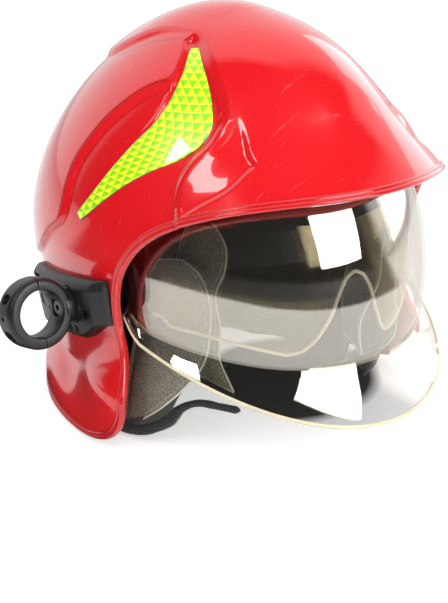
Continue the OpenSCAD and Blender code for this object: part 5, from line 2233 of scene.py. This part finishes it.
@dataclass(frozen=True)
class Patch:
    """An ellipse on the floor, in metres, where painted shade goes.

    Attributes:
        centre: its middle.
        way: the unit direction of its length.
        size: half its length and half its width.
    """

    centre: Pair
    way: Pair
    size: Pair

    def mask(self, tree: Tree, at: Socket) -> Socket:
        """Nodes that give 1 inside it.

        Args:
            tree: the floor's tree.
            at: places on the floor.

        Returns:
            The mask.
        """
        off = tree.vector("SUBTRACT", at, (*self.centre, 0), "Vector")
        parts = []
        for axis, half in ((self.way, self.size[0]), ((self.way[1], -self.way[0]), self.size[1])):
            part = tree.vector("DOT_PRODUCT", off, (axis[0] / half, axis[1] / half, 0))
            parts.append(tree.times(part, part))
        return tree.ramp(tree.times(tree.plus(*parts), 0.5), (0.42, 1.0), (0.58, 0.0))


@dataclass(frozen=True)
class Studio:
    """Floor, soft light and camera.

    Attributes:
        station: the camera's place in millimetres.
        target: a point whose pixel is known, in millimetres.
        pixel: that point's pixel.
        size: width and height of the picture in pixels.
        focal: focal length in pixels.
    """

    station: Place = (-638.8, -895.5, 505.0)
    target: Place = (0.0, 0.0, 140.0)
    pixel: Pair = (252.5, 204.5)
    size: tuple[int, int] = (448, 603)
    focal: float = 1796.0

    SENSOR, FLOOR = 36, 4.5
    # The dark colour is the painted shade of the floor's painted shadow and reflection patches.
    PALE, DARK, WHITE = (0.92, 0.92, 0.915), (0.05, 0.05, 0.05), (1, 1, 1)
    LAMPS = (
        Lamp("key_front", (-34, 30), (14, 62), 3.0), Lamp("fill_right", (-125, -60), (18, 62), 1.3),
        Lamp("top", (-60, 60), (66, 90), 1.2), Lamp("fill_left", (70, 140), (15, 60), 1.0),
        Lamp("glare_front", (-10, 30.5), (3.5, 51), 6.5, True),
        Lamp("glare_right", (-93, -77), (36, 56), 8.5, True),
        Lamp("glare_left", (100, 126), (6, 32), 1.5, True),
        Lamp("glare_side", (62, 98), (0, 20), 2.0, True),
        Lamp("sticker_glare", (-112, -94), (32, 44), 17, True))
    # Painted shadow: a dark ellipse on the floor under the helmet, shown only through glass.
    UNDER = Patch((0.042, 0.02), (0.75, 0.66), (0.072, 0.063))
    # Painted reflection: a dark ellipse on the floor beside the helmet's right side, seen only in glossy
    # rays.
    BESIDE = Patch((-0.14, 0.085), (0.0, 1.0), (0.1, 0.055))
    BACKLIT = (0.776, 0.606, 0.174)

    def camera(self) -> None:
        """Sets the camera so that the target falls on its pixel."""
        c, o = Vector(self.station), Vector(self.target)
        fw = (o - c).normalized()
        rt = fw.cross(Vector((0, 0, 1))).normalized()
        up = rt.cross(fw)
        dx, dy = self.size[0] / 2 - self.pixel[0], self.size[1] / 2 - self.pixel[1]
        axis = (fw + rt * (dx / self.focal) - up * (dy / self.focal)).normalized()
        lift = (up - axis * up.dot(axis)).normalized()
        right = axis.cross(lift)
        data = bpy.data.cameras.new("camera")
        data.lens = self.focal / max(self.size) * self.SENSOR
        data.sensor_width = self.SENSOR
        data.clip_start, data.clip_end = 0.01, 50
        obj = link("camera", data)
        obj.matrix_world = Matrix.Translation(c * MM) @ Matrix((right, lift, -axis)).transposed().to_4x4()
        bpy.context.scene.camera = obj

    def shading(self, tree: Tree, at: Socket) -> tuple[Socket, Socket]:
        """Where the floor is painted dark: a painted shadow seen through glass, and painted dark patches seen
        only in reflections.

        Args:
            tree: the floor's tree.
            at: places on the floor.

        Returns:
            How dark the painted shade is for the ray that sees it, and the share of that which is the painted
            shadow seen through glass.
        """
        spot = tree.add("SeparateXYZ", {0: at}).outputs
        right, left = tree.math("MINIMUM", spot[0], 0.0), tree.math("MAXIMUM", spot[0], 0.0)
        plan = tree.add("CombineXYZ", {0: tree.plus(left, tree.times(right, 0.75)), 1: spot[1]}).outputs[0]
        # Painted reflection: the floor past a ring round the helmet and towards the front is dark, in glossy
        # rays only.
        near = tree.ramp(tree.vector("LENGTH", plan), (0.445, 1.0), (0.46, 0.0))
        lean = tree.plus(tree.times(right, 1.2), tree.times(left, 0.8))
        ahead = tree.ramp(tree.plus(tree.plus(spot[1], 0.5), lean), (0.5, 1.0), (0.62, 0.0))
        far = tree.times(tree.minus(1.0, near), ahead)
        path = tree.add("LightPath").outputs
        # Painted shadow: the floor under the helmet turns dark only where it is seen through glass.
        through = tree.math("GREATER_THAN", path["Transparent Depth"], 0.5)
        under = tree.times(through, self.UNDER.mask(tree, at))
        # Painted reflection patches, shown in glossy rays only.
        painted_reflection_dark = tree.math("MAXIMUM", far, self.BESIDE.mask(tree, at))
        return tree.math("MAXIMUM", tree.times(path["Is Glossy Ray"], painted_reflection_dark), under), under

    def floor(self) -> None:
        """A pale floor that stays white for the camera and keeps the shadow, with a painted shadow under the
        helmet and painted dark patches in reflections.
        """
        bpy.ops.object.select_all(action="DESELECT")
        bpy.ops.mesh.primitive_circle_add(vertices=128, radius=self.FLOOR, fill_type="NGON")
        obj = bpy.context.active_object
        obj.name = "floor"
        mat, tree, shader = start("floor")
        dark, under = self.shading(tree, tree.place())
        seen = tree.add("LightPath").outputs["Is Camera Ray"]
        # Painted shade: the dark colour goes on the painted patches, and the camera's white glow is taken off
        # under the painted shadow.
        tree.fill(shader, {
            "Base Color": tree.blend(dark, self.PALE, self.DARK), "Emission Color": self.WHITE,
            "Emission Strength": tree.times(tree.minus(seen, under), 0.5, clamp=True),
            "Roughness": 0.9, "Specular IOR Level": 0.1})
        obj.data.materials.append(mat)

    def world(self) -> None:
        """White backdrop for the camera and behind the helmet in gloss, and even soft light."""
        world = bpy.data.worlds.new("studio")
        bpy.context.scene.world = world
        world.use_nodes = True
        tree = Tree(world.node_tree)
        tree.nodes.clear()
        path = tree.add("LightPath").outputs
        way = tree.add("TexCoord").outputs["Generated"]
        facing = tree.vector("DOT_PRODUCT", way, self.BACKLIT)
        part = tree.add("SeparateXYZ", {0: way}).outputs
        pale = tree.ramp(tree.plus(tree.times(facing, 0.5), 0.5), (0.6, 0.03), (0.66, 0.95))
        high = tree.ramp(part[2], (0.5, 0.0), (0.6, 1.0))
        ahead = tree.ramp(tree.minus(0.5, tree.times(part[1], 0.5)), (0.42, 0.0), (0.55, 1.0))
        behind = tree.blend(tree.times(high, ahead), pale, (0.03, 0.03, 0.03))
        gloss, soft, white = (
            tree.add("Background", {"Color": colour, "Strength": strength}).outputs[0]
            for colour, strength in ((behind, 1.0), (self.WHITE, 0.5), (self.WHITE, 1.0)))
        first = tree.add("MixShader", {0: path["Is Glossy Ray"], 1: soft, 2: gloss}).outputs[0]
        clear = tree.math("MAXIMUM", path["Is Camera Ray"], path["Is Transmission Ray"])
        last = tree.add("MixShader", {0: clear, 1: first, 2: white}).outputs[0]
        tree.add("OutputWorld", {"Surface": last})

    def build(self) -> None:
        """Sets the whole studio."""
        self.camera()
        self.floor()
        self.world()
        for lamp in self.LAMPS:
            lamp.build()
        bpy.context.scene.view_settings.view_transform = "Standard"

    def aim_glare(self, pieces: Sequence[Piece]) -> None:
        """Keeps the stickers' highlight to them.

        Args:
            pieces: the stickers.
        """
        lit = bpy.data.collections.new("glare_on_stickers")
        for piece in pieces:
            lit.objects.link(piece)
        bpy.data.objects["sticker_glare"].light_linking.receiver_collection = lit


# Building


CAD_FINISH: dict[str, str] = {
    "impact_liner": "liner_foam", "headband": "black_plastic", "ratchet_housing": "black_plastic",
    "ratchet_spindle": "bright_steel", "ratchet_wheel": "black_rubber",
    **{f"{node}_{side.tag}": finish
       for node, finish in (("shield_arm", "black_plastic"), ("visor_arm", "black_plastic"),
                            ("pivot_plate", "black_plastic"), ("pivot_pin", "bright_steel"),
                            ("pivot_spacer", "white_plastic"))
       for side in Side},
    "bracket_screws": "dark_steel", "torch_swivel_base": "bracket_plastic",
    "torch_swivel_screw": "dark_steel", "buckle_socket": "black_plastic", "buckle_plug": "black_plastic",
}


def main() -> None:
    """Builds the studio and every piece, in order."""
    logging.basicConfig(level=logging.INFO, format="%(name)s: %(message)s")
    studio = Studio()
    studio.build()
    for node, finish in CAD_FINISH.items():
        dress(node, finish)
    form = ShellForm()
    Shell(form).build()
    FaceShield(VisorForm(106.2, 131.5, 2.5)).build()
    EyeVisor(VisorForm(98.0, 116.5, 2.2)).build()
    for panel in (EAR_FLAP, CHEEK_PAD):
        LeatherPanel(panel).build()
    TorchBracket(form).build()
    TorchRing().build()
    Hem().build()
    Curtain(form).build()
    Harness().build()
    studio.aim_glare([o for o in bpy.data.objects if "sticker" in o.name and o.type == "MESH"])


if __name__ == "__main__":
    main()
